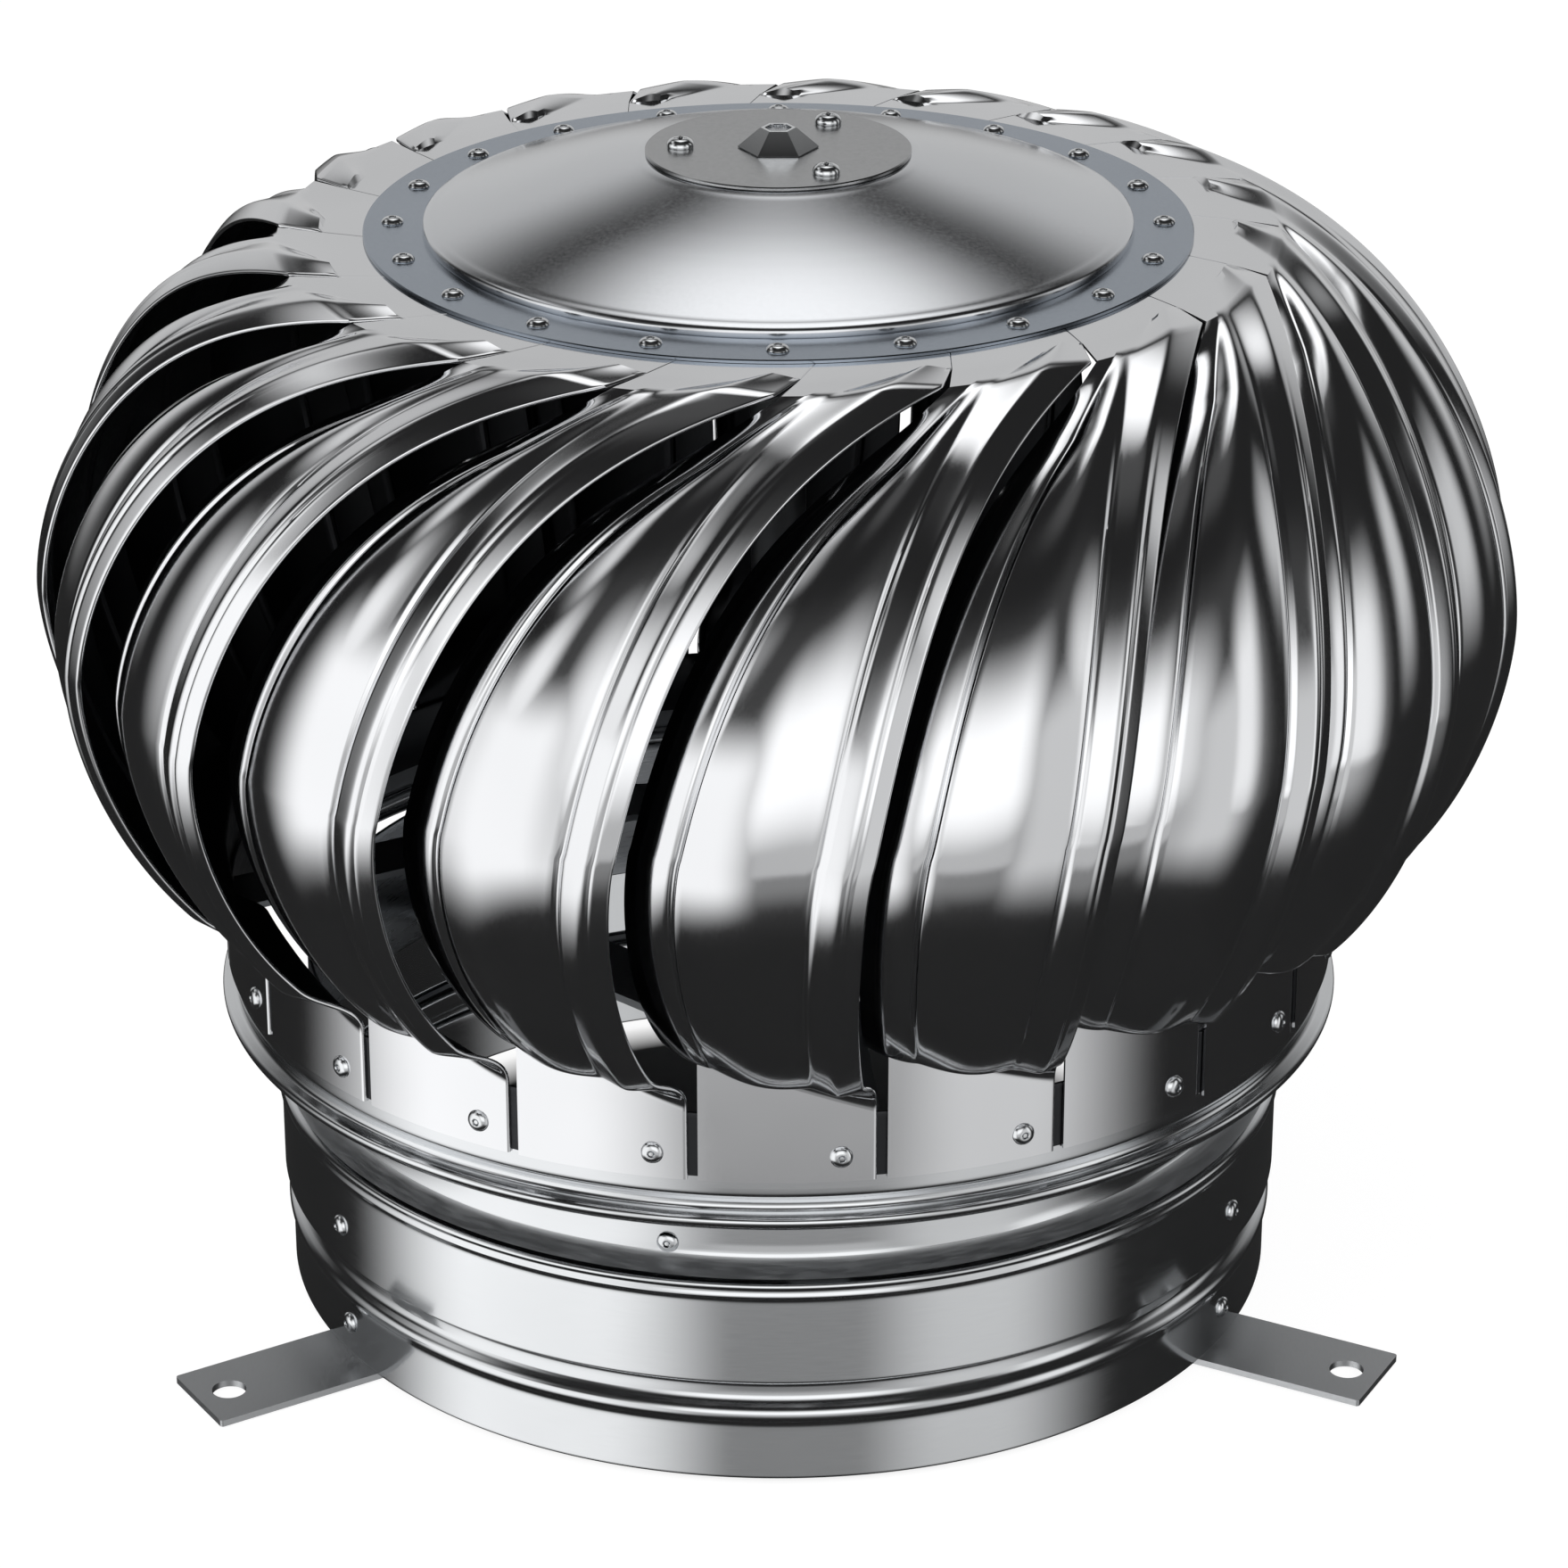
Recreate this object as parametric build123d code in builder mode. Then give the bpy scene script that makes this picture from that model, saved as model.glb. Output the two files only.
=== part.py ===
"""Roof turbine ventilator with a 300 mm throat.

A neck of spun sheet rings stands on three roof straps and holds a fixed shaft on two spiders.
A head of twenty lipped, twisted blades turns on that shaft in two ball bearings.
Millimetres, +Z up, origin at the centre of the underside of the straps, front towards -Y.
"""

import os
from math import asin, cos, degrees, hypot, radians, sin, sqrt

from build123d import *

# Neck: a lower collar, a wide band over it and an inner sleeve that the head's ring turns around
NECK_R = 150.0
COLLAR_INSET = 2.0
UPRIGHT_INSET = 8.0
NECK_GAUGE = 1.0
COLLAR_TOP = 34.0
COLLAR_LAP = 23.0
NECK_BEAD = 1.2
RIB_DROP = 11.5
RIB_WIDTH = 3.0
RIB_RUN = 1.5
GROOVE_DEPTH = 2.2
GROOVE_DROP = 5.0
GROOVE_WIDTH = 5.0
SHOULDER_TOP = 68.5
SHOULDER_DROP = 2.0
BEAD_DROP = 7.0
BEAD_PITCH = 3.5
BEAD_RUN = 1.0
UPRIGHT_HEIGHT = 15.5
SLEEVE_DROP = 8.5
SLEEVE_RISE = 20.0
LAP_GAP = 0.1
SEAT_GAP = 0.05

# Roof straps
STRAP_COUNT = 3
STRAP_TURN = 62.0
STRAP_WIDTH = 30.0
STRAP_GAUGE = 2.0
STRAP_FOOT = 50.0
STRAP_CORNER_R = 1.0
STRAP_HOLE_R = 5.0
STRAP_HOLE_INSET = 10.0
STRAP_LEG = 22.0

# Fixed shaft and the two spiders that hold it in the neck
SHAFT_R = 8.0
JOURNAL_R = 6.0
SHAFT_FOOT = 14.0
SHAFT_RISE = 2.0
HUB_R = 15.0
HUB_LENGTH = 16.0
SPIDER_ARMS = 3
SPIDER_WIDTH = 25.0
SPIDER_GAUGE = 2.5
SPIDER_TAB = 20.0
LOWER_SPIDER_RISE = 2.5
UPPER_SPIDER_DROP = 4.5
UPPER_SPIDER_TURN = -12.5
NUT_FLATS = 24.0
NUT_HEIGHT = 10.0

# Two equal ball bearings
RACE_R = 16.0
RACE_WIDTH = 10.0
BALL_COUNT = 7
BALL_GAP = 0.05
LOWER_BEARING_RISE = 20.5

# Bearing housings
HOUSING_WALL = 4.0
HOUSING_RIM = 13.0
HOUSING_FLANGE = 3.0
HOUSING_LIP = 3.0
CUP_DEPTH = 17.3
STEM_R = 8.0

# Turning ring that carries the feet of the blades
RING_CLEARANCE = 21.2
RING_GAUGE = 1.0
RING_LIFT = 6.6
RING_HEIGHT = 33.9
RING_BEAD = 3.0
RING_BEAD_CREST = 1.8
RING_GROOVE = 1.2
RING_GROOVE_WIDTH = 2.4
RING_RUN = 1.7

# Turning spider
ARM_COUNT = 4
ARM_WIDTH = 22.0
ARM_GAUGE = 2.0
ARM_TAB = 20.0

# Cap
FLANGE_R = 117.2
FLANGE_LAP = 6.4
FLANGE_TOP = 323.8
CAP_GAUGE = 1.0
DOME_MARGIN = 16.8
DOME_RIM = 2.5
DOME_RISE = 18.0
PLATE_MARGIN = 1.5
PLATE_GAUGE = 1.2
PLATE_R = 37.5
SCREW_COUNT = 3
SCREW_TURN = 29.0
SCREW_HEAD_R = 3.9
SCREW_HEAD = 2.6
SCREW_SHANK_R = 2.0
CAP_NUT_FLATS = 20.0
CAP_NUT_HEIGHT = 5.9
CAP_NUT_TAPER = 14.0
BACKING_GAUGE = 1.5
BACKING_MARGIN = 0.8
BACKING_WIDTH = 19.0

# Head outline and blades
BLADES = 20
BLADE_GAUGE = 0.8
BLADE_GAP = 0.35
HEAD_REACH = 51.1
HEAD_EQUATOR_SHARE = 0.498
CROWN_MARGIN = 18.2
CROWN_RISE = 0.5
CROWN_POWER = 1.75
SKIRT_DRAW = 21.3
SKIRT_DROP = 7.7
SKIRT_POWER = 1.73
LIP_WIDTH = 7.5
LIP_RISE = 3.0
LIP_DROOP = 2.0
LIP_END_RISE = 2.2
RISER_WIDTH = 6.9
LIP_SHARE = 0.7
LIP_EXIT_SHARE = 0.25
PANEL_LEAN = 8.0
PANEL_BULGE = 2.4
ROLL_WIDTH = 14.0
BLADE_LEAN = 14.0
SWEEP_START = 0.25
SWEEP_SQUARE = 11.5
SWEEP_FIFTH = 6.0
LIP_FADE = 8
LIP_END_ANGLE = 84.0
SKIRT_END_ANGLE = -53.0
LEAF_TURN = 12.0
LEAF_OFFSET = 45.5
LEAF_BEND = 12.4
LEAF_FLAT = 9.4
LEAF_LAP = 16.7
TAB_LIFT = 0.4
TAB_DROP = 7.5
TAB_TURN = 3.4
TAB_GAP = 1.0
FOLD_LOW = 1.5
FOLD_HIGH = 19.0

# Blind rivets
RIVET_HEAD_R = 3.2
RIVET_HEAD = 1.5
RIVET_SHANK_R = 1.6
RIVET_TAIL = 1.0
COLLAR_RIVET_Z = 12.0
RIVET_RISE = 8.5
RING_RIVET_DROP = 12.0
RING_RIVET_TURN = 6.0
CROWN_RIVET_INSET = 8.2
CROWN_RIVET_LEAD = 30.0

# Neck, worked out from the sizes above
COLLAR_R = NECK_R - COLLAR_INSET
COLLAR_INNER_R = NECK_R - NECK_GAUGE - LAP_GAP
UPRIGHT_R = NECK_R - UPRIGHT_INSET
UPRIGHT_TOP = SHOULDER_TOP + UPRIGHT_HEIGHT
SLEEVE_R = UPRIGHT_R - NECK_GAUGE - LAP_GAP
SLEEVE_TOP = UPRIGHT_TOP + SLEEVE_RISE
LOWER_SPIDER_Z = COLLAR_TOP + LOWER_SPIDER_RISE
UPPER_SPIDER_Z = SHOULDER_TOP - UPPER_SPIDER_DROP
BAND_RIVET_Z = LOWER_SPIDER_Z + RIVET_RISE
SLEEVE_RIVET_Z = UPPER_SPIDER_Z + RIVET_RISE
RIVET_HOLE_R = RIVET_SHANK_R + SEAT_GAP

# Turning ring and lower bearing
RING_R = UPRIGHT_R + RING_CLEARANCE
RING_BOTTOM = UPRIGHT_TOP + RING_LIFT
RING_TOP = RING_BOTTOM + RING_HEIGHT
RING_RIVET_Z = RING_TOP - RING_RIVET_DROP
TAB_R = RING_R + BLADE_GAUGE + TAB_LIFT
TAB_BOTTOM = RING_RIVET_Z - TAB_DROP
LOWER_BEARING_Z = RING_TOP + LOWER_BEARING_RISE
BALL_CIRCLE_R = (JOURNAL_R + RACE_R) / 2
BALL_R = 0.3 * (RACE_R - JOURNAL_R)
RACE_GAP = 1.1 * BALL_R
CAGE_WALL = 0.65 * BALL_R
HOUSING_R = RACE_R + HOUSING_WALL
HOUSING_FLANGE_R = HOUSING_R + HOUSING_RIM
HOUSING_SCREW_R = HOUSING_R + HOUSING_RIM / 2 + 1
SPIDER_PLATE_R = HOUSING_FLANGE_R + 5

# Cap and upper bearing
LEAF_TOP = FLANGE_TOP - CAP_GAUGE - LAP_GAP
LEAF_BEND_R = FLANGE_R + LEAF_BEND
LEAF_FLAT_R = FLANGE_R + LEAF_FLAT
LEAF_END_R = FLANGE_R - LEAF_LAP
CROWN_RIVET_R = FLANGE_R - CROWN_RIVET_INSET
DOME_R = FLANGE_R - DOME_MARGIN
DOME_LAND_R = PLATE_R + PLATE_MARGIN
DOME_RIM_TOP = FLANGE_TOP + LAP_GAP + DOME_RIM
DOME_LAND_TOP = DOME_RIM_TOP + DOME_RISE
PLATE_TOP = DOME_LAND_TOP + LAP_GAP + PLATE_GAUGE
HOUSING_TOP = DOME_LAND_TOP - CAP_GAUGE - LAP_GAP
UPPER_BEARING_Z = HOUSING_TOP - CUP_DEPTH
SHAFT_HEAD = UPPER_BEARING_Z + RACE_WIDTH + SHAFT_RISE

# Outline of the head
PITCH = 360 / BLADES
HEAD_R = RING_R + HEAD_REACH
CROWN_R = FLANGE_R + CROWN_MARGIN
CROWN_TOP = LEAF_TOP + CROWN_RISE
SKIRT_R = RING_R - SKIRT_DRAW
SKIRT_BOTTOM = RING_TOP - SKIRT_DROP
HEAD_EQUATOR = SKIRT_BOTTOM + HEAD_EQUATOR_SHARE * (CROWN_TOP - SKIRT_BOTTOM)


def at(turn, r, z):
    """Point at an azimuth counted from the front, -Y, towards +X."""
    return Vector(r * sin(radians(turn)), -r * cos(radians(turn)), z)


def on_wall(turn, r, z):
    """Place on a wall, its own Z axis pointing out along the radius."""
    return Plane(at(turn, r, z), x_dir=(0, 0, 1), z_dir=at(turn, 1, 0)).location


def flat_against(r, width):
    """Distance from the axis of a flat tab whose two edges touch the inside of a round wall."""
    return sqrt((r - LAP_GAP) ** 2 - (width / 2) ** 2)


def every(count, first):
    return [first + 360 / count * number for number in range(count)]


def spun(line, gauge):
    """Sheet ring: a line drawn upwards on the outside, thickened inwards and turned about Z."""
    with BuildPart() as ring:
        with BuildSketch(Plane.XZ):
            with BuildLine():
                Polyline(*line)
                offset(amount=gauge, side=Side.LEFT, kind=Kind.INTERSECTION)
            make_face()
        revolve(axis=Axis.Z)
    return ring.part


def drilled(sheet, holes, r=RIVET_HOLE_R, depth=12.0):
    """The same sheet with a round hole through each of the places given."""
    with BuildPart() as piece:
        add(sheet)
        with Locations(*holes):
            Cylinder(r, depth, mode=Mode.SUBTRACT)
    return piece.part


def bent_bar(line, gauge, width):
    """Flat bar bent along a line in the XZ plane, thickened to the left of the line's run."""
    with BuildPart() as bar:
        with BuildSketch(Plane.XZ):
            with BuildLine():
                Polyline(*line)
                offset(amount=gauge, side=Side.LEFT, kind=Kind.INTERSECTION)
            make_face()
        extrude(amount=width / 2, both=True)
    return bar.part


def rivets(places, grip):
    """Blind rivets, one solid at each place: a low bevelled head over a plain shank."""
    with BuildPart() as rivet:
        with BuildSketch(Plane.XZ):
            with BuildLine():
                Polyline((0, -grip), (RIVET_SHANK_R, -grip), (RIVET_SHANK_R, 0), (RIVET_HEAD_R, 0),
                         (0.55 * RIVET_HEAD_R, RIVET_HEAD), (0, RIVET_HEAD), close=True)
            make_face()
        revolve(axis=Axis.Z)
    with BuildPart() as group:
        with Locations(*places):
            add(rivet.part)
    return group.part


def write(piece, name):
    piece.label = name
    export_step(piece, f"parts/{name}.step")


os.makedirs("parts", exist_ok=True)

# Lower collar: spun sheet with a rolled rib and a groove, standing on the straps
rib_z, groove_z = COLLAR_TOP - RIB_DROP, COLLAR_TOP - GROOVE_DROP
collar_sheet = spun([
    (COLLAR_R, STRAP_GAUGE),
    (COLLAR_R, rib_z - RIB_WIDTH / 2 - RIB_RUN),
    (COLLAR_R + NECK_BEAD, rib_z - RIB_WIDTH / 2),
    (COLLAR_R + NECK_BEAD, rib_z + RIB_WIDTH / 2),
    (COLLAR_R - GROOVE_DEPTH, groove_z - GROOVE_WIDTH / 2),
    (COLLAR_R - GROOVE_DEPTH, groove_z + GROOVE_WIDTH / 2),
    (COLLAR_INNER_R, COLLAR_TOP),
    (COLLAR_INNER_R, COLLAR_TOP + COLLAR_LAP),
], NECK_GAUGE)
strap_turns = every(STRAP_COUNT, STRAP_TURN)
collar_holes = [on_wall(turn, COLLAR_R, COLLAR_RIVET_Z) for turn in strap_turns]
band_holes = [on_wall(turn, NECK_R, BAND_RIVET_Z) for turn in strap_turns]
write(drilled(collar_sheet, collar_holes + band_holes), "throat_collar")

# Wide band: two rolled beads under a shoulder that draws the neck in to its upright
bead_z = SHOULDER_TOP - BEAD_DROP
band_sheet = spun([
    (NECK_R, COLLAR_TOP),
    (NECK_R, bead_z - BEAD_RUN),
    (NECK_R + NECK_BEAD, bead_z),
    (NECK_R + NECK_BEAD / 3, bead_z + BEAD_PITCH / 2),
    (NECK_R + NECK_BEAD, bead_z + BEAD_PITCH),
    (NECK_R - NECK_BEAD, SHOULDER_TOP - SHOULDER_DROP),
    (UPRIGHT_R, SHOULDER_TOP),
    (UPRIGHT_R, UPRIGHT_TOP),
], NECK_GAUGE)
sleeve_turns = every(SPIDER_ARMS, UPPER_SPIDER_TURN)
sleeve_holes = [on_wall(turn, UPRIGHT_R, SLEEVE_RIVET_Z) for turn in sleeve_turns]
write(drilled(band_sheet, band_holes + sleeve_holes), "neck_band")

# Inner sleeve: the plain ring that stands up inside the turning ring and keeps rain out
sleeve_sheet = spun([(SLEEVE_R, SHOULDER_TOP - SLEEVE_DROP), (SLEEVE_R, SLEEVE_TOP)], NECK_GAUGE)
write(drilled(sleeve_sheet, sleeve_holes), "inner_sleeve")

# Roof straps: one leg riveted inside the collar, the other flat on the roof
strap_x = flat_against(COLLAR_R - NECK_GAUGE, STRAP_WIDTH)
strap_reach = COLLAR_R + STRAP_FOOT
strap_bar = bent_bar([
    (strap_reach, STRAP_GAUGE),
    (strap_x, STRAP_GAUGE),
    (strap_x, STRAP_LEG),
], STRAP_GAUGE, STRAP_WIDTH)
with BuildPart() as strap:
    add(strap_bar)
    fillet(strap.edges().filter_by(Axis.Z).sort_by(Axis.X)[-2:], radius=STRAP_CORNER_R)
    with Locations((strap_reach - STRAP_HOLE_INSET, 0, 0)):
        Cylinder(STRAP_HOLE_R, 3 * STRAP_GAUGE, mode=Mode.SUBTRACT)
    with Locations(Plane((strap_x, 0, COLLAR_RIVET_Z), z_dir=(1, 0, 0)).location):
        Cylinder(RIVET_HOLE_R, 3 * STRAP_GAUGE, mode=Mode.SUBTRACT)
for number, turn in enumerate(strap_turns, start=1):
    write(strap.part.rotate(Axis.Z, turn - 90), f"roof_strap_{number}")


def fixed_spider(wall_r, z, turns, rivet_z):
    """Spider in the neck: a bored hub on flat arms, each with a tab turned up against the wall."""
    tab_x = flat_against(wall_r, SPIDER_WIDTH)
    arm = bent_bar([(SHAFT_R + 2, z), (tab_x, z), (tab_x, z + SPIDER_TAB)], SPIDER_GAUGE, SPIDER_WIDTH)
    with BuildPart() as spider:
        for turn in turns:
            add(arm, rotation=(0, 0, turn - 90))
        with Locations((0, 0, z + SPIDER_GAUGE / 2)):
            Cylinder(HUB_R, HUB_LENGTH)
            Cylinder(SHAFT_R + SEAT_GAP, 2 * HUB_LENGTH, mode=Mode.SUBTRACT)
        with Locations(*[on_wall(turn, tab_x, rivet_z) for turn in turns]):
            Cylinder(RIVET_HOLE_R, 4 * SPIDER_GAUGE, mode=Mode.SUBTRACT)
    return spider.part


# Lower and upper spiders of the neck, riveted to the wide band and to the sleeve
lower_spider = fixed_spider(COLLAR_INNER_R - NECK_GAUGE, LOWER_SPIDER_Z, strap_turns, BAND_RIVET_Z)
upper_spider = fixed_spider(SLEEVE_R - NECK_GAUGE, UPPER_SPIDER_Z, sleeve_turns, SLEEVE_RIVET_Z)
write(lower_spider, "lower_spider")
write(upper_spider, "upper_spider")

# Rivets of the neck: through the collar and the straps, the band and the sleeve
strap_grip = COLLAR_R - strap_x + STRAP_GAUGE + RIVET_TAIL
band_grip = NECK_R - flat_against(COLLAR_INNER_R - NECK_GAUGE, SPIDER_WIDTH) + SPIDER_GAUGE + RIVET_TAIL
sleeve_grip = UPRIGHT_R - flat_against(SLEEVE_R - NECK_GAUGE, SPIDER_WIDTH) + SPIDER_GAUGE + RIVET_TAIL
write(rivets(collar_holes, strap_grip), "strap_rivets")
write(rivets(band_holes, band_grip), "band_rivets")
write(rivets(sleeve_holes, sleeve_grip), "sleeve_rivets")

# Fixed shaft: a shoulder carries the lower bearing, the journal above it both inner races
with BuildPart() as fixed_shaft:
    with BuildSketch(Plane.XZ):
        with BuildLine():
            Polyline((0, SHAFT_FOOT), (SHAFT_R - 1, SHAFT_FOOT), (SHAFT_R, SHAFT_FOOT + 1),
                     (SHAFT_R, LOWER_BEARING_Z), (JOURNAL_R, LOWER_BEARING_Z),
                     (JOURNAL_R, SHAFT_HEAD - 1), (JOURNAL_R - 1, SHAFT_HEAD), (0, SHAFT_HEAD),
                     close=True)
        make_face()
    revolve(axis=Axis.Z)
write(fixed_shaft.part, "fixed_shaft")

# Clamp nuts below and above the lower spider's hub
lower_hub_z = LOWER_SPIDER_Z + SPIDER_GAUGE / 2
with BuildPart() as shaft_nuts:
    for foot in (lower_hub_z - HUB_LENGTH / 2 - NUT_HEIGHT, lower_hub_z + HUB_LENGTH / 2):
        with BuildSketch(Plane.XY.offset(foot)):
            RegularPolygon(NUT_FLATS / 2, 6, major_radius=False)
            Circle(SHAFT_R + SEAT_GAP, mode=Mode.SUBTRACT)
        extrude(amount=NUT_HEIGHT)
write(shaft_nuts.part, "shaft_nuts")

# Spacer tube that keeps the two inner races apart
with BuildPart() as bearing_spacer:
    with BuildSketch(Plane.XY.offset(LOWER_BEARING_Z + RACE_WIDTH)):
        Circle(SHAFT_R)
        Circle(JOURNAL_R + SEAT_GAP, mode=Mode.SUBTRACT)
    extrude(amount=UPPER_BEARING_Z - LOWER_BEARING_Z - RACE_WIDTH)
write(bearing_spacer.part, "bearing_spacer")


def race(wall_r, face_r, z):
    """One race of a ball bearing, from its seat to its face, with a square groove for the balls."""
    toward = 1 if face_r > wall_r else -1
    groove_r = BALL_CIRCLE_R - toward * (BALL_R + BALL_GAP)
    middle, reach = z + RACE_WIDTH / 2, BALL_R + BALL_GAP
    with BuildPart() as ring:
        with BuildSketch(Plane.XZ):
            with BuildLine():
                Polyline((wall_r, z), (face_r, z), (face_r, middle - reach), (groove_r, middle - reach),
                         (groove_r, middle + reach), (face_r, middle + reach), (face_r, z + RACE_WIDTH),
                         (wall_r, z + RACE_WIDTH), close=True)
            make_face()
        revolve(axis=Axis.Z)
    return ring.part


def ball_cage(z):
    """Cage of one bearing: a thin ring with a round pocket for each ball."""
    with BuildPart() as cage:
        with Locations((0, 0, z + RACE_WIDTH / 2)):
            Cylinder(BALL_CIRCLE_R + CAGE_WALL / 2, 2.6 * BALL_R)
            Cylinder(BALL_CIRCLE_R - CAGE_WALL / 2, 2.6 * BALL_R, mode=Mode.SUBTRACT)
            with PolarLocations(BALL_CIRCLE_R, BALL_COUNT):
                Cylinder(BALL_R + BALL_GAP, 2 * CAGE_WALL, rotation=(0, 90, 0), mode=Mode.SUBTRACT)
    return cage.part


# Two ball bearings: races, cages and balls
for place, z in (("lower", LOWER_BEARING_Z), ("upper", UPPER_BEARING_Z)):
    write(race(JOURNAL_R + SEAT_GAP, BALL_CIRCLE_R - RACE_GAP / 2, z), f"{place}_inner_race")
    write(race(RACE_R, BALL_CIRCLE_R + RACE_GAP / 2, z), f"{place}_outer_race")
    write(ball_cage(z), f"{place}_ball_cage")
with BuildPart() as bearing_balls:
    for z in (LOWER_BEARING_Z, UPPER_BEARING_Z):
        with Locations((0, 0, z + RACE_WIDTH / 2)):
            with PolarLocations(BALL_CIRCLE_R, BALL_COUNT):
                Sphere(BALL_R)
write(bearing_balls.part, "bearing_balls")

# Lower bearing housing: a flanged cup whose lip stops the outer race
arm_turns = every(ARM_COUNT, RING_RIVET_TURN)
spider_screw_turns = every(ARM_COUNT, RING_RIVET_TURN + 180 / ARM_COUNT)
housing_bore_r = RACE_R + SEAT_GAP
housing_lip_r = RACE_R - HOUSING_LIP
lower_cup_foot = LOWER_BEARING_Z - HOUSING_FLANGE
with BuildPart() as lower_housing:
    with BuildSketch(Plane.XZ):
        with BuildLine():
            Polyline((housing_lip_r, lower_cup_foot), (HOUSING_FLANGE_R, lower_cup_foot),
                     (HOUSING_FLANGE_R, LOWER_BEARING_Z), (HOUSING_R, LOWER_BEARING_Z),
                     (HOUSING_R, LOWER_BEARING_Z + RACE_WIDTH),
                     (housing_bore_r, LOWER_BEARING_Z + RACE_WIDTH),
                     (housing_bore_r, LOWER_BEARING_Z), (housing_lip_r, LOWER_BEARING_Z), close=True)
        make_face()
    revolve(axis=Axis.Z)
    with Locations((0, 0, lower_cup_foot)):
        with PolarLocations(HOUSING_SCREW_R, ARM_COUNT, start_angle=spider_screw_turns[0] - 90):
            Cylinder(SCREW_SHANK_R + SEAT_GAP, 4 * HOUSING_FLANGE, mode=Mode.SUBTRACT)
write(lower_housing.part, "lower_bearing_housing")

# Turning spider: arms from a plate on the lower housing down to the ring
arm_tab_x = flat_against(RING_R - RING_GAUGE, ARM_WIDTH)
arm_top = LOWER_BEARING_Z + ARM_GAUGE
arm_tab_top = RING_RIVET_Z + ARM_TAB / 2
arm_bar = bent_bar([
    (arm_tab_x, arm_tab_top - ARM_TAB),
    (arm_tab_x, arm_tab_top),
    (SPIDER_PLATE_R + HOUSING_RIM / 2, arm_top),
    (HOUSING_R + HOUSING_RIM / 3, arm_top),
], ARM_GAUGE, ARM_WIDTH)
with BuildPart() as turning_spider:
    with BuildSketch(Plane.XY.offset(LOWER_BEARING_Z)):
        Circle(SPIDER_PLATE_R)
    extrude(amount=ARM_GAUGE)
    for turn in arm_turns:
        add(arm_bar, rotation=(0, 0, turn - 90))
    with BuildSketch(Plane.XY.offset(LOWER_BEARING_Z)):
        Circle(HOUSING_R + LAP_GAP)
        with PolarLocations(HOUSING_SCREW_R, ARM_COUNT, start_angle=spider_screw_turns[0] - 90):
            Circle(SCREW_SHANK_R + SEAT_GAP)
    extrude(amount=ARM_GAUGE, mode=Mode.SUBTRACT)
    with Locations(*[on_wall(turn, arm_tab_x, RING_RIVET_Z) for turn in arm_turns]):
        Cylinder(RIVET_HOLE_R, 4 * ARM_GAUGE, mode=Mode.SUBTRACT)
write(turning_spider.part, "turning_spider")


def pan_screws(places, grip):
    """Pan head screws, one solid at each place, their plain shanks down along -Z."""
    with BuildPart() as screw:
        with BuildSketch():
            Circle(SCREW_HEAD_R)
        extrude(amount=SCREW_HEAD)
        chamfer(screw.edges().group_by(Axis.Z)[-1], length=0.4 * SCREW_HEAD)
        with BuildSketch():
            Circle(SCREW_SHANK_R)
        extrude(amount=-grip)
    with BuildPart() as group:
        with Locations(*places):
            add(screw.part)
    return group.part


# Screws of the lower housing, down through the spider's plate
spider_screw_places = [Location(at(turn, HOUSING_SCREW_R, arm_top)) for turn in spider_screw_turns]
write(pan_screws(spider_screw_places, ARM_GAUGE + HOUSING_FLANGE + 1), "spider_screws")

# Upper bearing housing: a cup hung from its flange, with a threaded stem up through the cap
stem_top = PLATE_TOP + CAP_NUT_HEIGHT - 1.0
cup_roof = UPPER_BEARING_Z + RACE_WIDTH
with BuildPart() as upper_housing:
    with BuildSketch(Plane.XZ):
        with BuildLine():
            Polyline((0, stem_top), (STEM_R, stem_top), (STEM_R, HOUSING_TOP),
                     (HOUSING_FLANGE_R, HOUSING_TOP), (HOUSING_FLANGE_R, HOUSING_TOP - HOUSING_FLANGE),
                     (HOUSING_R, HOUSING_TOP - HOUSING_FLANGE), (HOUSING_R, UPPER_BEARING_Z),
                     (housing_bore_r, UPPER_BEARING_Z), (housing_bore_r, cup_roof),
                     (housing_lip_r, cup_roof), (housing_lip_r, SHAFT_HEAD + SHAFT_RISE),
                     (0, SHAFT_HEAD + SHAFT_RISE), close=True)
        make_face()
    revolve(axis=Axis.Z)
    with Locations(*[at(turn, HOUSING_SCREW_R, HOUSING_TOP) for turn in every(SCREW_COUNT, SCREW_TURN)]):
        Cylinder(SCREW_SHANK_R + SEAT_GAP, 4 * HOUSING_FLANGE, mode=Mode.SUBTRACT)
write(upper_housing.part, "upper_bearing_housing")

# Dome of the cap: a turned-down rim, a low cone and a flat land in the middle
dome_sheet = spun([(DOME_R, FLANGE_TOP + LAP_GAP), (DOME_R, DOME_RIM_TOP), (DOME_LAND_R, DOME_LAND_TOP),
                   (STEM_R + SEAT_GAP, DOME_LAND_TOP)], CAP_GAUGE)
with BuildPart() as cap_dome:
    add(dome_sheet)
    with Locations(*[at(turn, HOUSING_SCREW_R, DOME_LAND_TOP) for turn in every(SCREW_COUNT, SCREW_TURN)]):
        Cylinder(SCREW_SHANK_R + SEAT_GAP, 4 * CAP_GAUGE, mode=Mode.SUBTRACT)
write(cap_dome.part, "cap_dome")

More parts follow.
